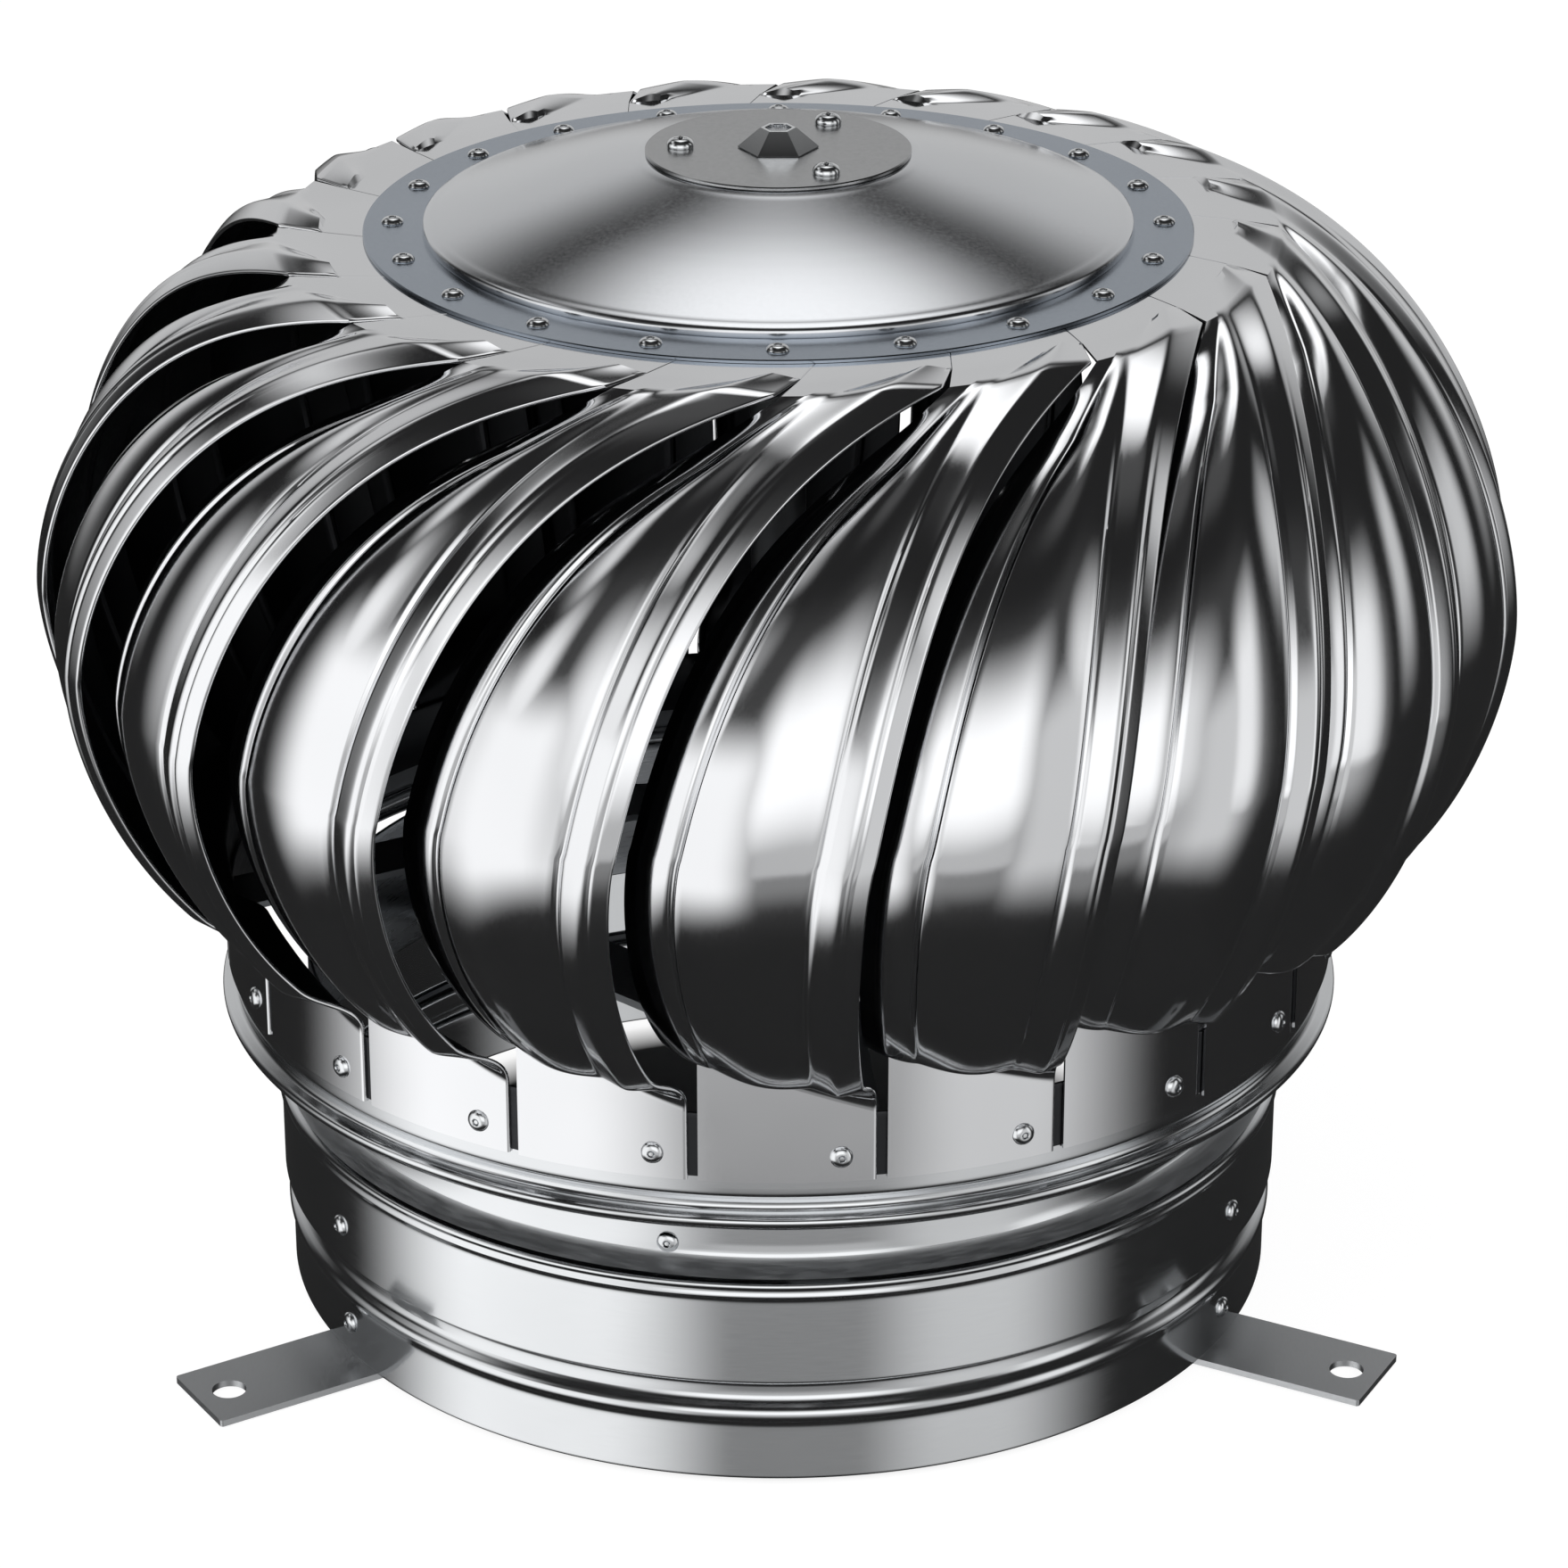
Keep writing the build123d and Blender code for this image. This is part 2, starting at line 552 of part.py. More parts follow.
# Centre plate, its three screws and the hexagonal nut on the stem
plate_z = DOME_LAND_TOP + LAP_GAP
with BuildPart() as centre_plate:
    with BuildSketch(Plane.XY.offset(plate_z)):
        Circle(PLATE_R)
        Circle(STEM_R + SEAT_GAP, mode=Mode.SUBTRACT)
        with Locations(*[(at(turn, HOUSING_SCREW_R, 0).X, at(turn, HOUSING_SCREW_R, 0).Y)
                         for turn in every(SCREW_COUNT, SCREW_TURN)]):
            Circle(SCREW_SHANK_R + SEAT_GAP, mode=Mode.SUBTRACT)
    extrude(amount=PLATE_GAUGE)
write(centre_plate.part, "centre_plate")
screw_places = [Location(at(turn, HOUSING_SCREW_R, PLATE_TOP)) for turn in every(SCREW_COUNT, SCREW_TURN)]
write(pan_screws(screw_places, PLATE_TOP - HOUSING_TOP + HOUSING_FLANGE + 1), "plate_screws")
with BuildPart() as cap_nut:
    with BuildSketch(Plane.XY.offset(PLATE_TOP)):
        RegularPolygon(CAP_NUT_FLATS / 2, 6, major_radius=False)
    extrude(amount=CAP_NUT_HEIGHT, taper=CAP_NUT_TAPER)
    with Locations((0, 0, stem_top)):
        Cylinder(STEM_R + SEAT_GAP, 2 * (stem_top - PLATE_TOP), mode=Mode.SUBTRACT)
write(cap_nut.part, "cap_nut")

# Flat ring of the cap and the backing ring, with the blades' leaves clamped between them
crown_rivet_turns = every(BLADES, RING_RIVET_TURN + CROWN_RIVET_LEAD)
backing_r = FLANGE_R + BACKING_MARGIN
for name, top, gauge, outer_r, bore_r in (
    ("cap_flange", FLANGE_TOP, CAP_GAUGE, FLANGE_R, DOME_R - FLANGE_LAP),
    ("backing_ring", LEAF_TOP - BLADE_GAUGE - LAP_GAP, BACKING_GAUGE, backing_r, backing_r - BACKING_WIDTH),
):
    with BuildPart() as flat_ring:
        with BuildSketch(Plane.XY.offset(top)):
            Circle(outer_r)
            Circle(bore_r, mode=Mode.SUBTRACT)
            with PolarLocations(CROWN_RIVET_R, BLADES, start_angle=crown_rivet_turns[0] - 90):
                Circle(RIVET_HOLE_R, mode=Mode.SUBTRACT)
        extrude(amount=-gauge)
    write(flat_ring.part, name)

# Turning ring: a plain band over a groove and a rolled bead
ring_turns = every(BLADES, RING_RIVET_TURN)
ring_holes = [on_wall(turn, RING_R, RING_RIVET_Z) for turn in ring_turns]
crest_top = RING_BOTTOM + RING_RUN + RING_BEAD_CREST
ring_sheet = spun([
    (RING_R + RING_BEAD / 2, RING_BOTTOM),
    (RING_R + RING_BEAD, RING_BOTTOM + RING_RUN),
    (RING_R + RING_BEAD, crest_top),
    (RING_R - RING_GROOVE, crest_top + RING_RUN),
    (RING_R - RING_GROOVE, crest_top + RING_RUN + RING_GROOVE_WIDTH),
    (RING_R, crest_top + 2 * RING_RUN + RING_GROOVE_WIDTH),
    (RING_R, RING_TOP),
], RING_GAUGE)
write(drilled(ring_sheet, ring_holes), "turning_ring")

# Rivets of the head: down through the cap's flange, and in through the blades' feet
crown_grip = FLANGE_TOP - LEAF_TOP + BLADE_GAUGE + LAP_GAP + BACKING_GAUGE + RIVET_TAIL
ring_grip = TAB_R - arm_tab_x + ARM_GAUGE + RIVET_TAIL
write(rivets([Location(at(turn, CROWN_RIVET_R, FLANGE_TOP)) for turn in crown_rivet_turns], crown_grip),
      "crown_rivets")
write(rivets([on_wall(turn, TAB_R, RING_RIVET_Z) for turn in ring_turns], ring_grip), "ring_rivets")


def head_line(angle):
    """Radius, height and outward slope of the head: a superellipse above and below its equator."""
    power, end_r, end_z = (
        (CROWN_POWER, CROWN_R, CROWN_TOP) if angle >= 0 else (SKIRT_POWER, SKIRT_R, SKIRT_BOTTOM)
    )
    out = cos(radians(angle)) ** (2 / power)
    up = sin(radians(abs(angle))) ** (2 / power)
    r = end_r + (HEAD_R - end_r) * out
    z = HEAD_EQUATOR + (end_z - HEAD_EQUATOR) * up
    slope_r = out ** (power - 1) / (HEAD_R - end_r)
    slope_z = up ** (power - 1) / (end_z - HEAD_EQUATOR)
    return r, z, slope_r / hypot(slope_r, slope_z), slope_z / hypot(slope_r, slope_z)


def lip_turn(angle):
    """Azimuth of the lip's edge from its blade's lower rivet: it sweeps ahead towards the cap."""
    y = angle / 90 + SWEEP_START
    return SWEEP_SQUARE * y**2 + SWEEP_FIFTH * y**5


def strip_turns(edge, r, stretch=1.0, gap=BLADE_GAP):
    """Azimuths across the sheet: edge, ridge, riser's foot, middle of the panel, roll, inner edge."""
    stretch = min(stretch, LIP_SHARE * radians(PITCH - gap) * r / (LIP_WIDTH + RISER_WIDTH))
    ridge = edge - degrees(LIP_WIDTH * stretch / r)
    riser = ridge - degrees(RISER_WIDTH * stretch / r)
    inner = edge - (PITCH - gap)
    roll = inner + min(degrees(ROLL_WIDTH / r), (riser - inner) / 2)
    return [edge, ridge, riser, (riser + roll) / 2, roll, inner]


def section(points, outward):
    """Flat face across the sheet through the points of its outer side, one gauge thick.

    It is made from its corners, because a sketch would merge the edges of a straight section
    and every section of a loft needs the same number of them.
    """
    across = points[-1] - points[0]
    plane = Plane(points[0] + across * 0.5, x_dir=across, z_dir=across.cross(outward))
    outer = [plane.to_local_coords(point) for point in points]
    outer = [Vector(point.X, point.Y, 0) for point in outer]
    inner = [point - Vector(0, BLADE_GAUGE, 0) for point in reversed(outer)]
    corners = [plane.from_local_coords(point) for point in outer + inner]
    return Face(Wire.make_polygon(corners))


def shell_section(angle):
    """Section of the blade on the head's outline: ridged lip, bulged panel, roll leaning in."""
    r, z, out, up = head_line(angle)
    r_low, z_low, _, _ = head_line(angle - 0.5)
    r_high, z_high, _, _ = head_line(angle + 0.5)
    along = hypot(r_high - r_low, z_high - z_low)
    across = radians(lip_turn(angle + 0.5) - lip_turn(angle - 0.5)) * r
    turns = strip_turns(lip_turn(angle), r, hypot(along, across) / along)
    fade = (max(angle, 0) / LIP_END_ANGLE) ** LIP_FADE
    ridge = -LIP_END_RISE * fade
    middle = (LIP_RISE + PANEL_LEAN) / 2 - PANEL_BULGE
    panel = [(1 - fade) * depth for depth in (LIP_RISE, middle, PANEL_LEAN, BLADE_LEAN)]
    depths = [ridge + LIP_DROOP, ridge] + panel
    points = [at(turn, r - depth * out, z - depth * up) for turn, depth in zip(turns, depths)]
    return section(points, at(turns[2], out, up))


def leaf_section(r, stretch=1.0, rise=0.0):
    """Section of the flat leaf under the cap's flange, or of the ridge where it leaves its side."""
    turns = strip_turns(LEAF_TURN + degrees(asin(LEAF_OFFSET / r)), r, stretch)
    rises = [0, rise, 0, 0, 0, 0]
    return section([at(turn, r, LEAF_TOP + up) for turn, up in zip(turns, rises)], Vector(0, 0, 1))


def foot_section(low, high):
    """Section of the foot on the ring, rising from the lip's side to the inner edge."""
    turns = strip_turns(TAB_TURN, TAB_R, gap=TAB_GAP)
    rise = [(turns[0] - turn) / (turns[0] - turns[-1]) for turn in turns]
    points = [at(turn, TAB_R, low + (high - low) * share) for turn, share in zip(turns, rise)]
    return section(points, at(turns[3], 1, 0))


# Blade: a leaf under the cap, a twisted lipped panel down the head and a foot on the ring
fold = foot_section(RING_TOP + FOLD_LOW, RING_TOP + FOLD_HIGH)
crown, skirt = shell_section(LIP_END_ANGLE), shell_section(SKIRT_END_ANGLE)
with BuildPart() as blade:
    loft([leaf_section(LEAF_END_R), leaf_section(LEAF_FLAT_R),
          leaf_section(LEAF_BEND_R, LIP_EXIT_SHARE, LIP_END_RISE), crown], ruled=True)
    loft([crown] + [shell_section(angle) for angle in (77, 69, 60, 50, 38, 24, 8, -8, -24, -40)]
         + [skirt])
    loft([skirt, fold, foot_section(TAB_BOTTOM, TAB_BOTTOM)], ruled=True)
    with Locations(at(CROWN_RIVET_LEAD, CROWN_RIVET_R, LEAF_TOP)):
        Cylinder(RIVET_HOLE_R, 4, mode=Mode.SUBTRACT)
    with Locations(on_wall(0, TAB_R, RING_RIVET_Z)):
        Cylinder(RIVET_HOLE_R, 4, mode=Mode.SUBTRACT)
for number, turn in enumerate(ring_turns, start=1):
    write(blade.part.rotate(Axis.Z, turn), f"blade_{number:02d}")
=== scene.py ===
"""Roof turbine ventilator, 300 mm throat, dressed for rendering. Metres, +Z up, front towards -Y."""
from math import cos, pi, radians, sin

import bmesh
import bpy
import numpy as np
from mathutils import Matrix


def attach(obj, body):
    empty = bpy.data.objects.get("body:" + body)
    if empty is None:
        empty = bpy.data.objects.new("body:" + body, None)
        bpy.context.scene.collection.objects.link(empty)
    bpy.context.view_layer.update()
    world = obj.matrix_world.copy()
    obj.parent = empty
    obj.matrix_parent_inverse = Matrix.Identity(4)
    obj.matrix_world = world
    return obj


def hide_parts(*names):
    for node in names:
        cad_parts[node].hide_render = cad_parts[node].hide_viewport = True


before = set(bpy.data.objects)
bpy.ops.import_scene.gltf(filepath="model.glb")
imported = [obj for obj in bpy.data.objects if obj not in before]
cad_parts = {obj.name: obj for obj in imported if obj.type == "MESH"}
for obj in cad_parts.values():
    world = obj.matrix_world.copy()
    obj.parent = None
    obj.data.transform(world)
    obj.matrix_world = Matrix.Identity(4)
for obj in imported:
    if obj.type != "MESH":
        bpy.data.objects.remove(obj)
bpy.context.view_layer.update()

MM = 0.001
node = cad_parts


# Camera. A long lens placed like the photograph's: 24 degrees above the horizon and square to the
# front, so that the rings of the neck and the cap show as the same ellipses.
CAMERA_LENS_MM = 119.0
CAMERA_DISTANCE = 1.5352
CAMERA_ELEVATION = radians(24.07)
CAMERA_TARGET = (0.0016, 0.0, 0.1499)

camera = bpy.data.objects.new("camera", bpy.data.cameras.new("camera"))
camera.data.lens, camera.data.sensor_width = CAMERA_LENS_MM, 36.0
camera.location = (
    CAMERA_TARGET[0],
    -CAMERA_DISTANCE * cos(CAMERA_ELEVATION),
    CAMERA_TARGET[2] + CAMERA_DISTANCE * sin(CAMERA_ELEVATION),
)
camera.rotation_euler = (pi / 2 - CAMERA_ELEVATION, 0.0, 0.0)
bpy.context.scene.collection.objects.link(camera)
bpy.context.scene.camera = camera
bpy.context.scene.view_settings.view_transform = "Standard"


# Studio. A white sweep under and behind the object, a large soft lamp on each side, and for
# reflections a dark tent with soft boxes in it, blended by a smooth maximum.


def add_node(tree, kind, settings=None, **links):
    """One shader node: its settings by name, its inputs from values or other nodes' outputs."""
    made = tree.nodes.new("ShaderNode" + kind)
    for name, value in (settings or {}).items():
        setattr(made, name, value)
    for name, value in links.items():
        socket = made.inputs[int(name[1:])] if name[0] == "_" else made.inputs[name.replace("_", " ")]
        if hasattr(value, "is_output"):
            tree.links.new(value, socket)
        else:
            socket.default_value = value
    return made


TENT_GREY, BLEND = 0.006, 0.03
# Each box: its azimuth from the front and its elevation, half its width and height, the widths of
# its soft sides and ends, all in degrees, and its light.
SOFT_BOXES = (
    ("front_window", 0.0, 12.0, 31.0, 24.0, 34.0, 34.0, 1.4),
    ("left_window", -74.0, 18.0, 13.0, 22.0, 20.0, 28.0, 1.1),
    ("left_high_window", -116.0, 46.0, 26.0, 7.0, 24.0, 14.0, 0.8),
    ("right_window", 62.0, 4.0, 11.0, 28.0, 16.0, 30.0, 1.1),
    ("far_right_window", 102.0, 14.0, 9.0, 18.0, 14.0, 26.0, 0.7),
    ("haze", 0.0, 5.0, 70.0, 50.0, 50.0, 30.0, 0.06),
    ("sweep_left", -58.0, -9.0, 38.0, 30.0, 44.0, 18.0, 1.25),
    ("sweep_right", 46.0, -9.0, 24.0, 30.0, 36.0, 20.0, 0.75),
    ("sweep_middle", 4.0, -14.0, 30.0, 15.0, 30.0, 8.0, 0.6),
    ("sweep_low", 4.0, -30.0, 34.0, 9.0, 30.0, 12.0, 0.27),
    ("roof_behind", 178.0, 63.0, 28.0, 15.0, 24.0, 22.0, 1.5),
    ("wall_behind", 180.0, 12.0, 46.0, 19.0, 26.0, 20.0, 0.62),
    ("zenith", 0.0, 90.0, 360.0, 14.0, 10.0, 20.0, 0.08),
)
world = bpy.data.worlds.new("studio_tent")
bpy.context.scene.world = world
world.use_nodes = True
tent = world.node_tree
tent.nodes.clear()
way = add_node(tent, "TexCoord").outputs["Generated"]
split = add_node(tent, "SeparateXYZ", Vector=way).outputs
forward = add_node(tent, "Math", {"operation": "MULTIPLY"}, _0=split["Y"], _1=-1.0).outputs[0]
azimuth = add_node(tent, "Math", {"operation": "ARCTAN2"}, _0=split["X"], _1=forward).outputs[0]
elevation = add_node(tent, "Math", {"operation": "ARCSINE"}, _0=split["Z"]).outputs[0]
glow = TENT_GREY
for name, turn, rise, half_width, half_height, soft_sides, soft_ends, light in SOFT_BOXES:
    shares = []
    for angle, centre, half, soft in ((azimuth, turn, half_width, soft_sides),
                                      (elevation, rise, half_height, soft_ends)):
        off = add_node(tent, "Math", {"operation": "SUBTRACT"}, _0=angle, _1=radians(centre)).outputs[0]
        off = add_node(tent, "Math", {"operation": "WRAP"}, _0=off, _1=-pi, _2=pi).outputs[0]
        off = add_node(tent, "Math", {"operation": "ABSOLUTE"}, _0=off).outputs[0]
        shares.append(add_node(tent, "MapRange", {"interpolation_type": "SMOOTHSTEP"}, Value=off,
                               From_Min=radians(half - soft / 2), From_Max=radians(half + soft / 2),
                               To_Min=1.0, To_Max=0.0).outputs[0])
    box = add_node(tent, "Math", {"operation": "MULTIPLY"}, _0=shares[0], _1=shares[1]).outputs[0]
    box = add_node(tent, "Math", {"operation": "MULTIPLY"}, _0=box, _1=light).outputs[0]
    glow = add_node(tent, "Math", {"operation": "SMOOTH_MAX"}, _0=box, _1=glow, _2=BLEND).outputs[0]
rays = add_node(tent, "LightPath").outputs
plain = add_node(tent, "MixRGB", Fac=rays["Is Camera Ray"], Color1=(0.62, 0.62, 0.63, 1.0),
                 Color2=(1.0, 1.0, 1.0, 1.0)).outputs[0]
seen_or_plain = add_node(tent, "MixRGB", Fac=rays["Is Glossy Ray"], Color1=plain, Color2=glow).outputs[0]
tent_light = add_node(tent, "Background", Color=seen_or_plain, Strength=1.0)
add_node(tent, "OutputWorld", Surface=tent_light.outputs[0])

FLOOR_HALF, FLOOR_DROP = 6.0, 0.0005
floor_mesh = bpy.data.meshes.new("floor")
floor_mesh.from_pydata([(-FLOOR_HALF, -FLOOR_HALF, 0), (FLOOR_HALF, -FLOOR_HALF, 0),
                        (FLOOR_HALF, FLOOR_HALF, 0), (-FLOOR_HALF, FLOOR_HALF, 0)], [], [(0, 1, 2, 3)])
floor = bpy.data.objects.new("floor", floor_mesh)
floor.location.z = -FLOOR_DROP
bpy.context.scene.collection.objects.link(floor)

# The floor's paper: matt, mostly lit by itself so that it stays white and its shadow pale, but not
# inside the throat, where no light falls. Metal sees the tent's soft boxes through it, which stand
# for the lit sweep.
THROAT_DARK_R, THROAT_LIT_R, PAPER_LIGHT = 0.130, 0.146, 0.91
paper = bpy.data.materials.new("white_paper_sweep")
paper.use_nodes = True
tree = paper.node_tree
tree.nodes.clear()
spot = add_node(tree, "TexCoord").outputs["Object"]
from_axis = add_node(tree, "VectorMath", {"operation": "LENGTH"}, _0=spot).outputs["Value"]
open_light = add_node(tree, "MapRange", Value=from_axis, From_Min=THROAT_DARK_R, From_Max=THROAT_LIT_R,
                      To_Min=0.0, To_Max=PAPER_LIGHT).outputs[0]
white = add_node(tree, "Emission", Color=(1.0, 1.0, 1.0, 1.0), Strength=open_light).outputs[0]
matt = add_node(tree, "BsdfDiffuse", Color=(0.16, 0.16, 0.16, 1.0)).outputs[0]
lit = add_node(tree, "AddShader", _0=matt, _1=white).outputs[0]
through = add_node(tree, "BsdfTransparent").outputs[0]
rays = add_node(tree, "LightPath").outputs
both = add_node(tree, "MixShader", Fac=rays["Is Glossy Ray"], _1=lit, _2=through).outputs[0]
add_node(tree, "OutputMaterial", Surface=both)
floor_mesh.materials.append(paper)

# Each lamp: its place, its size in metres and its power. Both face the middle of the object.
OBJECT_MIDDLE = (0.0, 0.0, 0.18)
LAMPS = (("key_lamp", (-1.6, -1.4, 2.2), 1.6, 26.0), ("fill_lamp", (1.9, -1.0, 1.7), 1.4, 14.0))
for name, place, size, watts in LAMPS:
    lamp = bpy.data.objects.new(name, bpy.data.lights.new(name, "AREA"))
    lamp.data.size, lamp.data.energy = size, watts
    lamp.location = place
    toward = np.array(OBJECT_MIDDLE) - np.array(place)
    lamp.rotation_euler = (np.arctan2(np.hypot(*toward[:2]), -toward[2]), 0.0,
                           np.arctan2(toward[1], toward[0]) - pi / 2)
    lamp.visible_glossy = False
    bpy.context.scene.collection.objects.link(lamp)


# Lower collar. Stainless sheet spun on a former: a rolled rib, then a groove that the foot of the
# wide band sits over. It stands on the three straps, and its grain runs round it.


def at(turn, r, z):
    """Points at an azimuth in degrees from the front, -Y, towards +X: (r sin t, -r cos t, z)."""
    turn = np.radians(turn)
    return np.stack(np.broadcast_arrays(r * np.sin(turn), -r * np.cos(turn), z), axis=-1)


def shell(name, grids, around=False):
    """Mesh of closed tubes: each grid is (stations, points of a closed loop, 3) in millimetres.

    Neighbouring stations are joined by quads. The last joins the first where the tube goes
    around, and otherwise each end is closed by the loop's own face. A loop whose ends stand on the
    axis isn't closed along it, and its points there are merged into two poles. A tube whose volume
    comes out negative has its faces reversed, so that they point outwards.
    """
    points, faces, start = [], [], 0
    for grid in grids:
        stations, loop, _ = grid.shape
        index = np.arange(stations * loop).reshape(stations, loop)
        if around:
            index = np.vstack([index, index[:1]])
        after = np.roll(index, -1, axis=1)
        quads = np.stack([index[:-1], after[:-1], after[1:], index[1:]], axis=-1)
        poles = around and np.ptp(grid[:, (0, -1)], axis=0).max() < 1e-6
        quads = quads[:, : loop - 1 if poles else loop].reshape(-1, 4)
        flat = grid.reshape(-1, 3)
        a, b, c, d = (flat[quads[:, k]] for k in range(4))
        volume = np.einsum("ij,ij->", a, np.cross(b, c)) + np.einsum("ij,ij->", a, np.cross(c, d))
        caps = [] if around else [list(index[0][::-1]), list(index[-1])]
        if volume < 0:
            quads, caps = quads[:, ::-1], [cap[::-1] for cap in caps]
        points.append(flat)
        faces += (quads + start).tolist() + [[int(k) + start for k in cap] for cap in caps]
        start += len(flat)
    mesh = bpy.data.meshes.new(name)
    mesh.from_pydata((np.vstack(points) * MM).tolist(), [], faces)
    if poles:
        merged = bmesh.new()
        merged.from_mesh(mesh)
        bmesh.ops.remove_doubles(merged, verts=merged.verts, dist=1e-4 * MM)
        merged.to_mesh(mesh)
        merged.free()
    mesh.shade_smooth()
    mesh.set_sharp_from_angle(angle=radians(32))
    piece = bpy.data.objects.new(name, mesh)
    bpy.context.scene.collection.objects.link(piece)
    return piece


def rounded(line, radius, steps=6):
    """The line with each inner corner rounded, from a radius before it to a radius after it.

    The round is the quadratic curve (1 - t)^2 a + 2 t (1 - t) corner + t^2 b. A run shorter than
    two radii gives each of its ends a little under half of its length.
    """
    line = np.array(line, float)
    points = [line[:1]]
    for before, corner, after in zip(line[:-2], line[1:-1], line[2:]):
        legs = before - corner, after - corner
        sizes = [np.linalg.norm(leg) for leg in legs]
        first, last = (corner + leg * min(radius, 0.48 * size) / size for leg, size in zip(legs, sizes))
        t = np.linspace(0, 1, steps)[:, None]
        points.append((1 - t) ** 2 * first + 2 * t * (1 - t) * corner + t**2 * last)
    return np.vstack(points + [line[-1:]])


def supported(line, spacing=1.6, clear=0.4):
    """The line with points every spacing on its long runs, so that smooth shading keeps them straight.

    A new point that would come nearer than the clear distance to a point of the line is left out.
    """
    length = np.concatenate([[0], np.cumsum(np.linalg.norm(np.diff(line, axis=0), axis=1))])
    more = np.arange(0.5, length[-1], spacing)
    more = more[np.abs(more[:, None] - length).min(axis=1) > clear]
    where = np.sort(np.concatenate([length, more]))
    return np.stack([np.interp(where, length, line[:, k]) for k in range(2)], axis=1)


def sheet_section(line, gauge):
    """Closed section of a sheet: the line, its own offset by the gauge to the left, round edges."""
    line = supported(line)
    along = np.gradient(line, axis=0)
    along /= np.linalg.norm(along, axis=1)[:, None]
    left = np.stack([-along[:, 1], along[:, 0]], axis=1)
    turn = np.linspace(0, pi, 7)[1:-1, None]
    middle = line + left * gauge / 2
    tip = middle[-1] - left[-1] * gauge / 2 * np.cos(turn) + along[-1] * gauge / 2 * np.sin(turn)
    root = middle[0] + left[0] * gauge / 2 * np.cos(turn) - along[0] * gauge / 2 * np.sin(turn)
    return np.vstack([line, tip, (line + left * gauge)[::-1], root])


def turned(name, section, facets=288):
    """Piece turned about Z: the closed section of (radius, height) points carried round a circle."""
    turn = np.linspace(0, 360, facets, endpoint=False)[:, None]
    return shell(name, [at(turn, section[None, :, 0], section[None, :, 1])], around=True)


def srgb(code):
    """Linear RGBA of an sRGB hex colour: each channel c/12.92 below 0.04045, else a 2.4 power."""
    channels = np.array([int(code[i : i + 2], 16) for i in (1, 3, 5)]) / 255
    linear = np.where(channels <= 0.04045, channels / 12.92, ((channels + 0.055) / 1.055) ** 2.4)
    return (*linear, 1.0)


CLOUDS_PER_METRE = 14.0


def steel(name, colour, roughness, grain_mm, stretch, dent=0.0):
    """Metal with a grain in its roughness and relief, and broad clouds, 14 to the metre, in its tone.

    The stretch scales the grain's coordinates, so the grain runs along an axis whose share is
    small. It takes the roughness from 0.82 to 1.2 of its value, and the clouds darken the tone by
    up to 7 %. The dent is the depth in millimetres of broad waves left by the press, 45 mm wide.
    """
    made = bpy.data.materials.new(name)
    made.use_nodes = True
    tree = made.node_tree
    tree.nodes.clear()
    where = add_node(tree, "TexCoord").outputs["Object"]
    drawn = add_node(tree, "Mapping", Vector=where, Scale=stretch).outputs[0]
    grain = add_node(tree, "TexNoise", Vector=drawn, Scale=1 / (grain_mm * MM), Detail=3.0,
                     Roughness=0.6).outputs["Fac"]
    cloud = add_node(tree, "TexNoise", Vector=where, Scale=CLOUDS_PER_METRE, Detail=2.0).outputs["Fac"]
    rough = add_node(tree, "MapRange", Value=grain, From_Min=0.3, From_Max=0.7,
                     To_Min=0.82 * roughness, To_Max=1.2 * roughness).outputs[0]
    tone = add_node(tree, "MapRange", Value=cloud, From_Min=0.3, From_Max=0.7,
                    To_Min=0.93, To_Max=1.0).outputs[0]
    tinted = add_node(tree, "MixRGB", {"blend_type": "MULTIPLY"}, Fac=1.0, Color1=srgb(colour),
                      Color2=tone).outputs[0]
    fine = add_node(tree, "Bump", Height=grain, Strength=0.03, Distance=0.02 * MM).outputs[0]
    if dent:
        broad = add_node(tree, "TexNoise", Vector=where, Scale=1 / (45 * MM), Detail=1.0).outputs["Fac"]
        fine = add_node(tree, "Bump", Height=broad, Strength=1.0, Distance=dent * MM,
                        Normal=fine).outputs[0]
    metal = add_node(tree, "BsdfPrincipled", Base_Color=tinted, Roughness=rough, Metallic=1.0, Normal=fine)
    add_node(tree, "OutputMaterial", Surface=metal.outputs[0])
    return made


def dress(piece, body, slot, material, *replaced):
    """Gives a piece its material, its body and the CAD nodes that it stands for. The slot is not used."""
    piece.data.materials.append(material)
    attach(piece, body)
    if replaced:
        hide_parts(*replaced)


# Spun stainless steel, polished on the lathe: clear reflections, streaked round the axis. Real
# polishing lines are a few hundredths of a millimetre apart. Here and in the other metals the
# grain is drawn at 0.3 to 1.2 mm, as coarse as it needs to be to show at all.
spun_stainless = steel("spun_stainless_bright", "#DADCDE", 0.13, 0.5, (0.06, 0.06, 1.0))
COLLAR = rounded([(148.0, 2.0), (148.0, 19.6), (149.2, 21.2), (149.2, 23.8), (145.8, 26.4),
                  (145.8, 31.6), (148.85, 34.0), (148.85, 57.0)], 1.6)
collar = turned("collar_spun_sheet", sheet_section(COLLAR, 1.0))
dress(collar, "neck", "polished_stainless", spun_stainless, "throat_collar")

# Wide band. The same sheet: two rolled beads stiffen it below the shoulder that draws the neck
# in to its upright and is left dull by the drawing.


def give_second(piece, material, chosen):
    """Gives a piece a second material on the faces that the function of their centres chooses."""
    centre = np.zeros(3 * len(piece.data.polygons))
    piece.data.polygons.foreach_get("center", centre)
    piece.data.materials.append(material)
    piece.data.polygons.foreach_set("material_index", chosen(centre.reshape(-1, 3)).astype(int))


